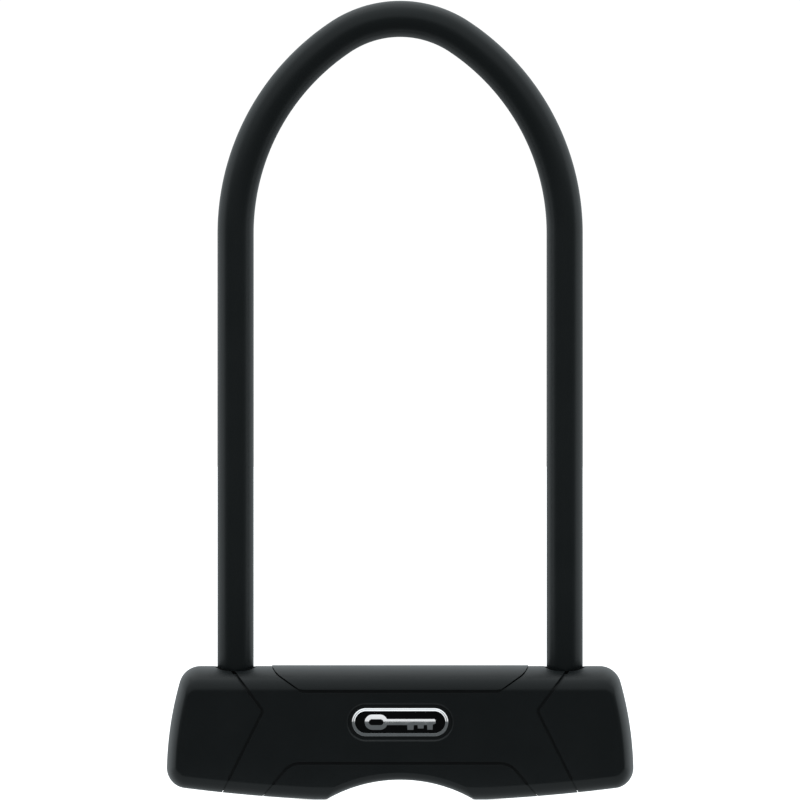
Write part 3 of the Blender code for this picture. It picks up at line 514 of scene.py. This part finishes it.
def casing_form(name, inset=0.0, sink=None, rise=0.0, steps=16):
    """The casing's whole outer form, and the exact normal at each of its points.

    inset makes its silhouette smaller, and sink its depth, or inset makes both smaller.
    rise lifts its top.
    """
    sink = inset if sink is None else sink
    rounds = (TOP_ROUND, SIDE_ROUND, BOTTOM_ROUND, THUMB_ROUND)
    face = both_sides(casing_outline(*rounds, FACE_CORNER_RADIUS, FACE_CORNER_RADIUS))
    insets = (inset - rise, inset, inset, inset)
    corners = (TOP_CORNER_RADIUS - inset, BOTTOM_CORNER_RADIUS - inset)
    rim = both_sides(casing_outline(*insets, *corners))
    count = len(face)
    rings, normals = [], []
    for front in (1, -1):
        for step in range(steps + 1)[::front]:
            turn = math.pi / 2 * step / steps
            ring, slopes = [], []
            for (fx, fz, _), (rx, rz, depth) in zip(face, rim):
                reach = HALF_DEPTH - sink - (depth - sink) * (1 - math.cos(turn))
                x = fx + (rx - fx) * math.sin(turn)
                z = fz + (rz - fz) * math.sin(turn)
                ring.append(Vector((x, -front * reach, z)))
                back = front * (depth - sink) * math.sin(turn)
                wide, high = (rx - fx) * math.cos(turn), (rz - fz) * math.cos(turn)
                slopes.append(Vector((wide, back, high)))
            rings.append(ring)
            for i in range(count):
                along = ring[(i + 1) % count] - ring[i - 1]
                normals.append(along.cross(slopes[i]).normalized() * front)
    return loft(name, rings), normals


class Skin:
    """The uncut form, kept to give the cut pieces its smooth normals."""

    NEAR = 0.0015 * MM  # a face further off was made by a cut
    ALIKE = 0.85  # and so was one whose direction agrees less than this

    def __init__(self, obj, normals):
        self.points = [v.co.copy() for v in obj.data.vertices]
        self.faces = [tuple(p.vertices) for p in obj.data.polygons]
        self.normals = normals
        self.tree = BVHTree.FromPolygons(self.points, self.faces)

    def normal(self, point):
        """The form's normal nearest to a point, and how far off it is."""
        place, flat, face, distance = self.tree.find_nearest(point)
        corners = self.faces[face]
        if len(corners) > 4:
            return flat, distance
        weights = poly_3d_calc([self.points[c] for c in corners], place)
        mixed = Vector()
        for corner, weight in zip(corners, weights):
            mixed += self.normals[corner] * weight
        return mixed.normalized(), distance

    def smooth(self, obj):
        """Shades what is left of the skin on a cut piece with the form's own normals."""
        smooth(obj, 35)
        mesh = obj.data
        custom = [(0.0, 0.0, 0.0)] * len(mesh.loops)
        for face in mesh.polygons:
            towards, distance = self.normal(face.center)
            if distance > self.NEAR or towards.dot(face.normal) < self.ALIKE:
                continue
            for loop in face.loop_indices:
                co = mesh.vertices[mesh.loops[loop].vertex_index].co
                custom[loop] = self.normal(co)[0]
        mesh.normals_split_custom_set(custom)
        return obj


def rounded(points, steps=8, longest=0.6):
    """An open line of (x, z, radius) points in mm, its corners rounded, in metres.

    Its straight stretches are divided, so that grown can widen a part of them.
    """
    line = [Vector((x, z)) for x, z, _ in points]
    result = [line[0]]
    for i in range(1, len(line) - 1):
        radius = points[i][2]
        if not radius:
            result.append(line[i])
            continue
        back = (line[i - 1] - line[i]).normalized()
        ahead = (line[i + 1] - line[i]).normalized()
        half = back.angle(ahead) / 2
        reach = radius / math.tan(half)
        centre = line[i] + (back + ahead).normalized() * (radius / math.sin(half))
        start = line[i] + back * reach - centre
        end = line[i] + ahead * reach - centre
        for k in range(steps + 1):
            spoke = start.slerp(end, k / steps).normalized()
            result.append(centre + spoke * radius)
    result.append(line[-1])
    divided = [result[0]]
    for point in result[1:]:
        pieces = math.ceil((point - divided[-1]).length / longest)
        divided += [divided[-1].lerp(point, k / pieces) for k in range(1, pieces)] + [point]
    return [(p.x * MM, p.y * MM) for p in divided]


def grown(outline, amount):
    """A closed outline of (x, z) points moved outwards by amount(x, z), with mitred corners."""
    sharpest = 0.3
    count = len(outline)
    twice_area = 0.0
    for i in range(count):
        (x1, z1), (x2, z2) = outline[i - 1], outline[i]
        twice_area += x1 * z2 - x2 * z1
    side = 1 if twice_area > 0 else -1
    result = []
    for i in range(count):
        here = Vector(outline[i])
        before = (here - Vector(outline[i - 1])).normalized()
        after = (Vector(outline[(i + 1) % count]) - here).normalized()
        out_before = Vector((before.y, -before.x)) * side
        out_after = Vector((after.y, -after.x)) * side
        mitre = (out_before + out_after).normalized()
        result.append(here + mitre * (amount(*here) / max(sharpest, mitre.dot(out_before))))
    return [(p.x, p.y) for p in result]


class Split:
    """A line along which the casing comes apart, closed round a neighbour of the centre cover."""

    def __init__(self, outline, groove):
        self.outline = outline
        self.groove = groove

    def half_gap(self, x, z, depth):
        """Half the gap between the two pieces, at a place and a depth below the flat face."""
        if z < BOTTOM_ROUND + (x**2 - TOE_X**2) / (2 * BOTTOM_RADIUS):
            gap = HAIRLINE
        else:
            gap = next(half for height, half in self.groove if z < height)
        share = max(0.0, 1 - depth / EDGE_ROUND)
        return gap + EDGE_ROUND * (1 - math.sqrt(1 - share**2))

    def region(self, side):
        """A prism through the casing, half a gap outside the outline, or inside for side -1."""
        front = []
        for depth in (-CLEAR, 0.0, 0.25 * EDGE_ROUND, 0.6 * EDGE_ROUND, EDGE_ROUND):
            below = max(depth, 0.0)
            ring = grown(self.outline, lambda x, z: side * self.half_gap(x, z, below))
            front.append((HALF_DEPTH - depth, ring))
        rings = [at_depth(ring, -y) for y, ring in front]
        rings += [at_depth(ring, y) for y, ring in front[::-1]]
        return loft("split_region", rings)

    def plain_region(self, amount):
        """A prism through the casing, an even amount outside the outline."""
        reach = HALF_DEPTH + CLEAR
        ring = grown(self.outline, lambda x, z: amount)
        return loft("plain_region", [at_depth(ring, y) for y in (-reach, reach)])


def mirrored(outline):
    """The same outline on the other side, run through in the other order."""
    return [(-x, z) for x, z in outline[::-1]]


def end_split(side):
    """The split round an end cap, closed outside the casing."""
    line = rounded(END_SPLIT)
    outside = 100 * MM
    right = [(outside, line[0][1])] + line + [(outside, line[-1][1])]
    return Split(right if side > 0 else mirrored(right), END_GROOVE)


def window_split(line, groove):
    """The split round a trim's window, from its right half, closed over the middle."""
    first = (0.0, line[0][1], 0.0)
    right = rounded([first] + line)[1:]
    return Split(right + mirrored(right), groove)


def crest_z(y):
    """The height of the casing's top surface, away from its corners."""
    turn = math.acos(1 - (HALF_DEPTH - abs(y)) / TOP_ROUND_DEPTH)
    return TOP_Z - TOP_ROUND + TOP_ROUND * math.sin(turn)


def leg_hole(side, sides=96):
    """The cutter of a leg's hole: round behind, squarer in front, with a softened mouth."""
    outline = []
    for i in range(sides):
        c, s = math.cos(2 * math.pi * i / sides), math.sin(2 * math.pi * i / sides)
        if s < 0:
            x = math.copysign(abs(c) ** LEG_HOLE_POWER, c) * LEG_HOLE_RADIUS
            outline.append((x, -(abs(s) ** LEG_HOLE_POWER) * LEG_HOLE_FRONT))
        else:
            outline.append((c * LEG_HOLE_RADIUS, s * LEG_HOLE_RADIUS))
    levels = [(-LEG_HOLE_DEPTH, 0.0)]
    for k in range(4):
        angle = math.pi / 2 * k / 3
        drop = LEG_HOLE_ROUND * (math.sin(angle) - 1)
        levels.append((drop, LEG_HOLE_ROUND * (1 - math.cos(angle))))
    levels.append((3 * MM, LEG_HOLE_ROUND))
    rings = []
    for lift, flare in levels:
        wide = 1 + flare / LEG_HOLE_RADIUS
        points = ((x * wide, y * wide) for x, y in outline)
        rings.append([(side * LEG_X + x, y, crest_z(y) + lift) for x, y in points])
    return loft("leg_hole", rings)


def badge_recess():
    """The cutter of the badge's recess, with the chamfer round its mouth."""
    width = BADGE_WIDTH + 2 * RECESS_MARGIN
    height = BADGE_HEIGHT + 2 * RECESS_MARGIN
    rings = []
    for widen, y in (
        (2 * RECESS_CHAMFER, -HALF_DEPTH - RECESS_CHAMFER),
        (0.0, -HALF_DEPTH + RECESS_CHAMFER),
        (0.0, -HALF_DEPTH + RECESS_DEPTH),
    ):
        rings.append(at_depth(stadium(width + 2 * widen, height + 2 * widen, BADGE_Z, 32), y))
    return loft("badge_recess", rings)


def make_casing(plastic):
    """The centre cover, the end caps and the trims, with the ledge that runs under each split."""
    form, normals = casing_form("casing_form")
    skin = Skin(form, normals)
    raised_form, raised_normals = casing_form("raised_form", rise=TRIM_RISE)
    raised_skin = Skin(raised_form, raised_normals)
    lap = (LEDGE_INSET - LEDGE_PLAY, LEDGE_SINK - LEDGE_PLAY, LEDGE_RISE)
    forms = {
        "outer": form,
        "raised": raised_form,
        "cavity": casing_form("cavity_form", inset=CASING_WALL, steps=5)[0],
        "ledge": casing_form("ledge_form", LEDGE_INSET, LEDGE_SINK, LEDGE_RISE)[0],
        "lap": casing_form("lap_form", *lap)[0],
    }

    def copy(key, name="cutter"):
        obj = bpy.data.objects.new(name, forms[key].data.copy())
        bpy.context.scene.collection.objects.link(obj)
        return obj

    ends = {side: end_split(side) for side in (-1, 1)}
    top = window_split(TOP_SPLIT, TOP_GROOVE)
    bottom = window_split(BOTTOM_SPLIT, BOTTOM_GROOVE)

    centre = carve(copy("outer", "centre_cover_shell"), "DIFFERENCE", copy("cavity"))
    for split in (ends[-1], ends[1], top, bottom):
        rebate = carve(split.region(1), "DIFFERENCE", copy("ledge"))
        carve(centre, "DIFFERENCE", rebate, split.plain_region(-LEDGE_REACH))
    carve(centre, "DIFFERENCE", leg_hole(-1), leg_hole(1), badge_recess())
    finish(skin.smooth(centre), "crossbar", plastic, "centre_cover")

    def neighbour(name, split, key="outer"):
        """A piece beside the centre cover, thinned where it lies on the cover's ledge."""
        piece = carve(copy(key, name), "INTERSECT", split.region(-1))
        beyond = split.plain_region(-LEDGE_REACH - LEDGE_PLAY)
        rebate = carve(copy("lap"), "DIFFERENCE", beyond)
        return carve(piece, "DIFFERENCE", copy("cavity"), rebate)

    for side, word in ((-1, "left"), (1, "right")):
        cap = neighbour(f"{word}_end_cap_shell", ends[side])
        carve(cap, "DIFFERENCE", leg_hole(side))
        finish(skin.smooth(cap), "crossbar", plastic, f"{word}_end_cap")

    trim = neighbour("top_trim_shell", top, "raised")
    finish(raised_skin.smooth(trim), "crossbar", plastic, "top_trim")

    hole = BEZEL_RADIUS + 0.3 * MM
    bore = [(0.0, 14 * MM), (hole, 14 * MM), (hole, 0.0), (0.0, 0.0)]
    trim = carve(neighbour("bottom_trim_shell", bottom), "DIFFERENCE", lathe("bore", bore))
    finish(skin.smooth(trim), "crossbar", plastic, "bottom_trim")

    for helper in forms.values():
        bpy.data.objects.remove(helper)


# ----------------------------------------------------------------------------- shackle


def shackle_stations(leg_end_z):
    """(place, direction) along the bar's middle line, from the left leg's end to the right's."""
    centre_x = LEG_X - SHOULDER_RADIUS
    reach = SHOULDER_RADIUS - CROWN_RADIUS
    crown_z = SHOULDER_Z + math.sqrt(reach**2 - centre_x**2)
    junction = math.atan2(crown_z - SHOULDER_Z, -centre_x)
    stations = []
    for i in range(5):
        z = leg_end_z + (SHOULDER_Z - leg_end_z) * i / 5
        stations.append(((LEG_X, z), 0.0))
    for i in range(49):
        angle = junction * i / 48
        stations.append((arc(centre_x, SHOULDER_Z, SHOULDER_RADIUS, angle, angle, 1)[0], angle))
    for i in range(1, 33):
        angle = junction + (math.pi / 2 - junction) * i / 32
        stations.append((arc(0.0, crown_z, CROWN_RADIUS, angle, angle, 1)[0], angle))
    right = [(Vector((x, 0.0, z)), angle) for (x, z), angle in stations]
    left = [(Vector((-p.x, 0.0, p.z)), math.pi - angle) for p, angle in right[:-1]]
    return left + right[::-1]


def ring_about(place, angle, radius, sides=72):
    """A circle of points round a station. angle is the direction away from the bend's middle."""
    outwards = Vector((math.cos(angle), 0.0, math.sin(angle)))
    across = Vector((0.0, 1.0, 0.0))
    ring = []
    for i in range(sides):
        turn = 2 * math.pi * i / sides
        ring.append(place + radius * (math.cos(turn) * outwards + math.sin(turn) * across))
    return ring


def make_sleeve(coat):
    """The coat: a tube along the bar, bevelled at both ends."""
    stations = shackle_stations(SLEEVE_END_Z)
    inner = SLEEVE_RADIUS - SLEEVE_WALL
    tip = SLEEVE_RADIUS - 0.4 * SLEEVE_BEVEL
    rings = [ring_about(place, angle, SLEEVE_RADIUS) for place, angle in stations]
    for end in (0, -1):
        rings[end] = [p + Vector((0, 0, SLEEVE_BEVEL)) for p in rings[end]]
    rings.append(ring_about(*stations[-1], tip))
    rings += [ring_about(place, angle, inner) for place, angle in stations[::-1]]
    rings.append(ring_about(*stations[0], tip))
    sleeve = smooth(loft("shackle_coat_sleeve", rings, closed=True), 40)
    finish(sleeve, "shackle", coat, "shackle_sleeve")


def make_bar(steel):
    """The bar inside the coat, with chamfered feet and a notch for the bolt in each."""
    stations = shackle_stations(FOOT_Z)
    rings = [ring_about(place, angle, BAR_RADIUS) for place, angle in stations]
    for end in (0, -1):
        rings[end] = [p + Vector((0, 0, FOOT_CHAMFER)) for p in rings[end]]
    first, last = (ring_about(*stations[end], BAR_RADIUS - FOOT_CHAMFER) for end in (0, -1))
    bar = loft("shackle_bar_ground", [first, *rings, last])
    clear = 2 * MM
    reach = BAR_RADIUS + clear
    tools = []
    for side in (-1, 1):
        inner_x = side * (LEG_X - BAR_RADIUS - clear)
        floor_x = side * (LEG_X - BAR_RADIUS + NOTCH_DEPTH)
        low_x, high_x = sorted((inner_x, floor_x))
        low, high = (low_x, -reach, NOTCH_LOW_Z), (high_x, reach, NOTCH_HIGH_Z)
        tools.append(block("notch", low, high))
    carve(bar, "DIFFERENCE", *tools)
    finish(smooth(bar, 30), "shackle", steel, "shackle_bar")


def make_seals(material):
    """A lip that wipes each leg, with a neck that rises nearly to the hole's mouth."""
    reach = 1.15 * NECK_RADIUS  # the neck's height is taken where the hole's edge stands
    for side, word in ((-1, "left"), (1, "right")):
        low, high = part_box(f"{word}_leg_seal")
        bottom, top = low.z, high.z
        rings = []
        for i in range(96):
            c, s = math.cos(2 * math.pi * i / 96), math.sin(2 * math.pi * i / 96)
            mouth = crest_z(reach * s) - NECK_DROP
            profile = [(LIP_RADIUS, bottom + SEAL_BEVEL), (LIP_RADIUS + SEAL_BEVEL, bottom)]
            profile += [(SEAL_RADIUS, bottom), (SEAL_RADIUS, top - SEAL_BEVEL)]
            profile += [(SEAL_RADIUS - SEAL_BEVEL, top), (NECK_RADIUS, top)]
            profile += [(NECK_RADIUS, mouth - NECK_BEVEL), (NECK_RADIUS - NECK_BEVEL, mouth)]
            profile += [(NECK_BORE + NECK_BEVEL, mouth), (NECK_BORE, mouth - NECK_BEVEL)]
            profile += [(NECK_BORE, top)]
            lip_x, lip_z = LIP_RADIUS + LIP_ROUND, top - NECK_BEVEL - LIP_ROUND
            profile += arc(lip_x, lip_z, LIP_ROUND, math.pi / 2, math.pi, 6)
            rings.append([(side * LEG_X + r * c, r * s, z) for r, z in profile])
        ring = loft(f"{word}_lip_seal", rings, closed=True)
        finish(smooth(ring, 40), "crossbar", material, f"{word}_leg_seal")


# ------------------------------------------------------------------------------- badge


def crown_drop(z):
    """How far the badge's crowned front has fallen back at a height."""
    return (z - BADGE_Z) ** 2 / (2 * BADGE_CROWN)


def crowned(outline, y):
    """An (x, z) outline as points on the badge's crown, moved to a depth."""
    return [(x, y + crown_drop(z), z) for x, z in outline]


def make_badge(metal, gloss):
    """Makes the rim, the plate and the emblem, and returns the two chrome ones."""

    def outline(inset):
        return stadium(BADGE_WIDTH - 2 * inset, BADGE_HEIGHT - 2 * inset, BADGE_Z, 40)

    edge, bead = BADGE_EDGE, BADGE_BEAD
    rings = []
    for inset, sink in ((0.0, edge), (0.3 * edge, 0.3 * edge), (edge, 0.0)):
        rings.append(crowned(outline(inset), BADGE_FRONT + sink))
    for inset, sink in ((-bead, 0.0), (0.0, -0.1 * bead), (bead, 0.0)):
        rings.append(crowned(outline(BADGE_RIM / 2 + inset), BADGE_FRONT + sink))
    for inset, sink in ((edge, 0.0), (0.3 * edge, 0.3 * edge), (0.0, edge)):
        rings.append(crowned(outline(BADGE_RIM - inset), BADGE_FRONT + sink))
    rings.append(at_depth(outline(BADGE_RIM), BADGE_BACK))
    rings.append(at_depth(outline(0.0), BADGE_BACK))
    rim = smooth(loft("badge_chrome_rim", rings, closed=True), 3)
    finish(rim, "crossbar", metal, "badge_rim")

    low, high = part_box("badge_plate")
    inset = BADGE_RIM + BADGE_GAP
    bevel = 0.1 * MM
    rings = [at_depth(outline(inset + bevel), low.y), at_depth(outline(inset), low.y + bevel)]
    rings.append(at_depth(outline(inset), high.y))
    finish(smooth(loft("badge_gloss_plate", rings), 30), "crossbar", gloss, "badge_plate")

    return rim, finish(key_emblem(), "crossbar", metal, "badge_emblem")


def key_emblem():
    """A plain key, lying down, on the badge's crown: a ring bow, a shaft and three teeth."""
    front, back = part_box("badge_emblem")[0].y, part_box("badge_emblem")[1].y
    bow_r = 2.8 * MM
    bow_left, bow_right = -10.2 * MM, -7.4 * MM
    shaft_top, shaft_bottom = 0.42, -0.38  # where the shaft leaves the bow, as angles
    bow = arc(bow_right, BADGE_Z, bow_r, shaft_top, math.pi / 2, 12)
    bow += arc(bow_left, BADGE_Z, bow_r, math.pi / 2, 3 * math.pi / 2, 36)
    bow += arc(bow_right, BADGE_Z, bow_r, -math.pi / 2, shaft_bottom, 12)
    teeth = [(2.6, -1.05), (2.7, -2.8), (4.9, -2.8), (5.0, -1.08), (6.4, -1.03)]
    teeth += [(6.5, -2.3), (8.6, -2.3), (8.7, -1.06), (9.9, -1.02), (10.0, -2.75)]
    teeth += [(11.9, -2.75), (12.0, -0.9), (13.0, -0.5), (13.0, 0.75), (12.6, 1.15)]
    shape = bow + [(x * MM, BADGE_Z + z * MM) for x, z in teeth]
    emblem = loft("badge_key_emblem", [at_depth(shape, front), at_depth(shape, back)])
    middle = (bow_left + bow_right) / 2
    hole = [(x + middle, z) for x, z in stadium(5.4 * MM, 2.2 * MM, BADGE_Z)]
    tool = loft("bow_hole", [at_depth(hole, front - MM), at_depth(hole, back + MM)])
    carve(emblem, "DIFFERENCE", tool)
    bend_by_slices(emblem, (front + back) / 2)
    return smooth(emblem, 30)


def bend_by_slices(emblem, middle_y):
    """Bends a flat emblem's front to the badge's crown, in level slices 0.2 mm high."""
    slices, height = 13, 0.2 * MM
    offset = 0.03 * MM  # keeps the cuts off the outline's own corners
    bm = bmesh.new()
    bm.from_mesh(emblem.data)
    for k in range(-slices, slices + 1):
        level = (0, 0, BADGE_Z + k * height + offset)
        parts = bm.verts[:] + bm.edges[:] + bm.faces[:]
        bmesh.ops.bisect_plane(bm, geom=parts, plane_co=level, plane_no=(0, 0, 1))
    for vert in bm.verts:
        if vert.co.y < middle_y:
            vert.co.y += crown_drop(vert.co.z)
    bm.to_mesh(emblem.data)
    bm.free()


# ----------------------------------------------------------------------------- keyhole


def make_bezel(gloss):
    """The ring round the keyhole, rounded where it stands out of the trim."""
    low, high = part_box("keyhole_bezel")
    inner = SHUTTER_RADIUS + 0.25 * MM
    lip_z = low.z + BEZEL_LIP
    profile = [(inner, high.z), (BEZEL_RADIUS, high.z)]
    profile += arc(BEZEL_RADIUS - BEZEL_LIP, lip_z, BEZEL_LIP, 0.0, -math.pi / 2, 6)
    profile += arc(inner + BEZEL_LIP, lip_z, BEZEL_LIP, -math.pi / 2, -math.pi, 6)
    bezel = lathe("keyhole_ring", profile)
    finish(smooth(bezel, 40), "crossbar", gloss, "keyhole_bezel")


def make_shutter(plain):
    """The disc that turns behind the bezel, with a flange, a dished front and the key's slot."""
    low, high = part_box("keyhole_shutter")
    flange = high.x
    step, dish = SHUTTER_FLANGE_Z, 0.35 * MM
    corner_x, corner_z = SHUTTER_RADIUS - SHUTTER_ROUND, low.z + SHUTTER_ROUND
    profile = [(0.0, high.z), (flange, high.z), (flange, step), (SHUTTER_RADIUS, step)]
    profile += arc(corner_x, corner_z, SHUTTER_ROUND, 0.0, -math.pi / 2, 6)
    profile += [(5.4 * MM, low.z), (5.0 * MM, low.z + dish), (0.0, low.z + dish)]
    disc = lathe("keyhole_shutter_disc", profile)
    slot = stadium(SLOT_LENGTH, SLOT_WIDTH, 0.0, 12)
    tool = loft("slot", [[(x, y, z) for x, y in slot] for z in (5 * MM, 12 * MM)])
    carve(disc, "DIFFERENCE", tool)
    finish(smooth(disc, 40), "shutter", plain, "keyhole_shutter")


# ------------------------------------------------------------------------------- inside


def finish_inside(finishes):
    """The mechanism keeps its nodes, each with its own metal, plastic or rubber."""
    wearing = {
        "blackened": ("crossbar_tube", "left_end_plug", "right_end_plug"),
        "steel": (
            "left_end_pin",
            "right_end_pin",
            "left_cylinder_pin",
            "right_cylinder_pin",
            "cam_disc",
            "left_bolt",
            "right_bolt",
            "drill_guard",
            "plug_clip",
            "shutter_spring",
            *(f"wafer_spring_{i}" for i in range(1, 7)),
        ),
        "brass": ("cylinder_body", "plug"),
        "nickel": tuple(f"wafer_{i}" for i in range(1, 7)),
        "rubber": ("left_foot_buffer", "right_foot_buffer"),
        "acetal": ("left_bolt_guide", "right_bolt_guide"),
    }
    for kind, names in wearing.items():
        for name in names:
            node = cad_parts[name]
            node.data.materials.clear()
            node.data.materials.append(finishes[kind])


# ------------------------------------------------------------------------ studio, camera


def glowing(name, base, roughness, glow, strength):
    """A material that gives off light of its own, as well as what it reflects."""
    material = bpy.data.materials.new(name)
    material.use_nodes = True
    shader = material.node_tree.nodes["Principled BSDF"]
    shader.inputs["Base Color"].default_value = (*base, 1.0)
    shader.inputs["Roughness"].default_value = roughness
    shader.inputs["Emission Color"].default_value = (*glow, 1.0)
    shader.inputs["Emission Strength"].default_value = strength
    return material


def sheet(name, low, high, z, material):
    """A level sheet between two corners."""
    mesh = bpy.data.meshes.new(name)
    outline = ((low[0], low[1]), (high[0], low[1]), (high[0], high[1]), (low[0], high[1]))
    mesh.from_pydata([(x, y, z) for x, y in outline], [], [(0, 1, 2, 3)])
    mesh.materials.append(material)
    obj = bpy.data.objects.new(name, mesh)
    bpy.context.scene.collection.objects.link(obj)
    return obj


def make_floor():
    """A white floor, which is clear from below, so that the underside can be seen."""
    material = glowing("studio_floor", (0.86, 0.86, 0.86), 0.9, (1.0, 1.0, 1.0), 0.9)
    tree = material.node_tree
    clear = tree.nodes.new("ShaderNodeBsdfTransparent")
    behind = tree.nodes.new("ShaderNodeNewGeometry").outputs["Backfacing"]
    mix = tree.nodes.new("ShaderNodeMixShader")
    tree.links.new(behind, mix.inputs["Fac"])
    tree.links.new(tree.nodes["Principled BSDF"].outputs["BSDF"], mix.inputs[1])
    tree.links.new(clear.outputs["BSDF"], mix.inputs[2])
    tree.links.new(mix.outputs["Shader"], tree.nodes["Material Output"].inputs["Surface"])
    reach = 40.0
    z = cad_box[0][2] - 0.2 * MM
    floor = sheet("studio_floor", (-reach, -reach), (reach, reach), z, material)
    floor.visible_glossy = False
    floor.visible_diffuse = False


def make_surround():
    """A white tent beside, over and behind the lock, and a dark room in front of it."""
    world = bpy.data.worlds.new("studio")
    bpy.context.scene.world = world
    world.use_nodes = True
    tree = world.node_tree
    nodes, links = tree.nodes, tree.links
    coords = nodes.new("ShaderNodeTexCoord")
    axes = nodes.new("ShaderNodeSeparateXYZ")
    links.new(coords.outputs["Generated"], axes.inputs["Vector"])

    def level(axis, *stops):
        """A brightness that goes by one coordinate of the direction, from -1 to 1."""
        node = nodes.new("ShaderNodeFloatCurve")
        curve = node.mapping.curves[0]
        while len(curve.points) < len(stops):
            curve.points.new(0.5, 0.5)
        for point, (place, height) in zip(curve.points, stops):
            point.location = ((place + 1) / 2, height)
        node.mapping.update()
        half = nodes.new("ShaderNodeMapRange")
        half.inputs["From Min"].default_value = -1.0
        links.new(axes.outputs[axis], half.inputs["Value"])
        links.new(half.outputs["Result"], node.inputs["Value"])
        return node.outputs["Value"]

    def combine(operation, a, b):
        node = nodes.new("ShaderNodeMath")
        node.operation = operation
        for socket, value in zip(node.inputs, (a, b)):
            if isinstance(value, float):
                socket.default_value = value
            else:
                links.new(value, socket)
        return node.outputs[0]

    front_to_back = ((-1, 0), (-0.45, 0.01), (-0.15, 0.62), (0.3, 0.66), (0.6, 0.6), (1, 0.36))
    low_to_high = ((-1, 0.45), (-0.3, 0.5), (-0.05, 0.9), (0.1, 1), (0.8, 1.25), (0.9, 0.6))
    overhead = ((-1, 0), (0.08, 0), (0.3, 0.3), (0.7, 0.38), (0.86, 0.47), (1, 0.57))
    sides = level("Y", *front_to_back)
    height = level("Z", *low_to_high, (1, 0.6))
    over = level("Z", *overhead)
    light = combine("MAXIMUM", combine("MULTIPLY", sides, height), over)
    fill = 0.12  # what comes from everywhere
    light = combine("ADD", light, fill)
    tint = nodes.new("ShaderNodeCombineColor")
    for socket, share in zip(tint.inputs, STUDIO_TINT):
        links.new(combine("MULTIPLY", light, share), socket)
    background = nodes["Background"]
    links.new(tint.outputs["Color"], background.inputs["Color"])

    # Behind the lock the picture is plain white.
    white = nodes.new("ShaderNodeBackground")
    path = nodes.new("ShaderNodeLightPath")
    mix = nodes.new("ShaderNodeMixShader")
    links.new(path.outputs["Is Camera Ray"], mix.inputs["Fac"])
    links.new(background.outputs["Background"], mix.inputs[1])
    white.inputs["Color"].default_value = (1.0, 1.0, 1.0, 1.0)
    white.inputs["Strength"].default_value = 1.05
    links.new(white.outputs["Background"], mix.inputs[2])
    links.new(mix.outputs["Shader"], nodes["World Output"].inputs["Surface"])


def make_softbox(name, place, towards, size, power):
    """A soft light in the shape of a rectangle, which the camera doesn't see."""
    data = bpy.data.lights.new(name, "AREA")
    data.shape = "RECTANGLE"
    data.size, data.size_y = size
    data.energy = power
    light = bpy.data.objects.new(name, data)
    bpy.context.scene.collection.objects.link(light)
    light.location = place
    direction = Vector(towards) - Vector(place)
    light.rotation_euler = direction.to_track_quat("-Z", "Y").to_euler()
    light.visible_camera = False
    return light


def make_ground_card():
    """A pale sheet on the floor under the lock, which only shows in what it lights."""
    material = glowing("ground_card", (0.0, 0.0, 0.0), 0.5, STUDIO_TINT, 0.45)
    z = cad_box[0][2] - 0.1 * MM
    card = sheet("ground_card", (-0.3, -0.045), (0.3, 0.3), z, material)
    card.visible_camera = False
    card.visible_diffuse = False
    card.visible_shadow = False


def make_camera():
    """A long lens straight in front, so that there is almost no perspective."""
    distance = 8.0
    seen = 294.4 * MM  # the height of the view, at the shackle's plane
    data = bpy.data.cameras.new("camera")
    data.sensor_width = 36.0
    data.lens = data.sensor_width * distance / seen
    data.clip_end = 100.0
    camera = bpy.data.objects.new("camera", data)
    bpy.context.scene.collection.objects.link(camera)
    camera.location = (-0.05 * MM, -distance, 146.9 * MM)
    camera.rotation_euler = (math.pi / 2, 0.0, 0.0)
    bpy.context.scene.camera = camera


def main():
    finishes = {
        "plastic": moulded_plastic(),
        "coat": coated_sleeve(),
        "chrome": chrome(),
        "gloss": gloss_black(),
        "steel": hardened_steel(),
        "blackened": blackened_steel(),
        "brass": turned_brass(),
        "nickel": nickel_silver(),
        "rubber": rubber("rubber", 0.010, 0.021),
        # The seals' near-black is painted shade: far darker than the buffers' rubber, it stands for
        # the shadow deep in the leg holes
        "seal": rubber("painted_shade_black_rubber", 0.001, 0.002, gloss=0.1),
        "acetal": acetal(),
    }
    make_casing(finishes["plastic"])
    make_sleeve(finishes["coat"])
    make_bar(finishes["steel"])
    make_seals(finishes["seal"])
    badge_chrome = make_badge(finishes["chrome"], finishes["gloss"])
    make_bezel(finishes["gloss"])
    make_shutter(finishes["acetal"])
    finish_inside(finishes)
    make_floor()
    make_surround()
    make_ground_card()
    make_softbox("top_softbox", (0.0, 0.3, 1.6), (0, 0, 0.1), (1.6, 1.2), 2.0)
    card = make_softbox("badge_card", (0.0, -1.2, 0.336), (0, 0, 0.336), (0.2, 0.6), 0.3)
    receivers = bpy.data.collections.new("badge_card_receivers")
    for obj in badge_chrome:
        receivers.objects.link(obj)
    card.light_linking.receiver_collection = receivers
    make_camera()
    bpy.context.scene.view_settings.view_transform = "Standard"


main()
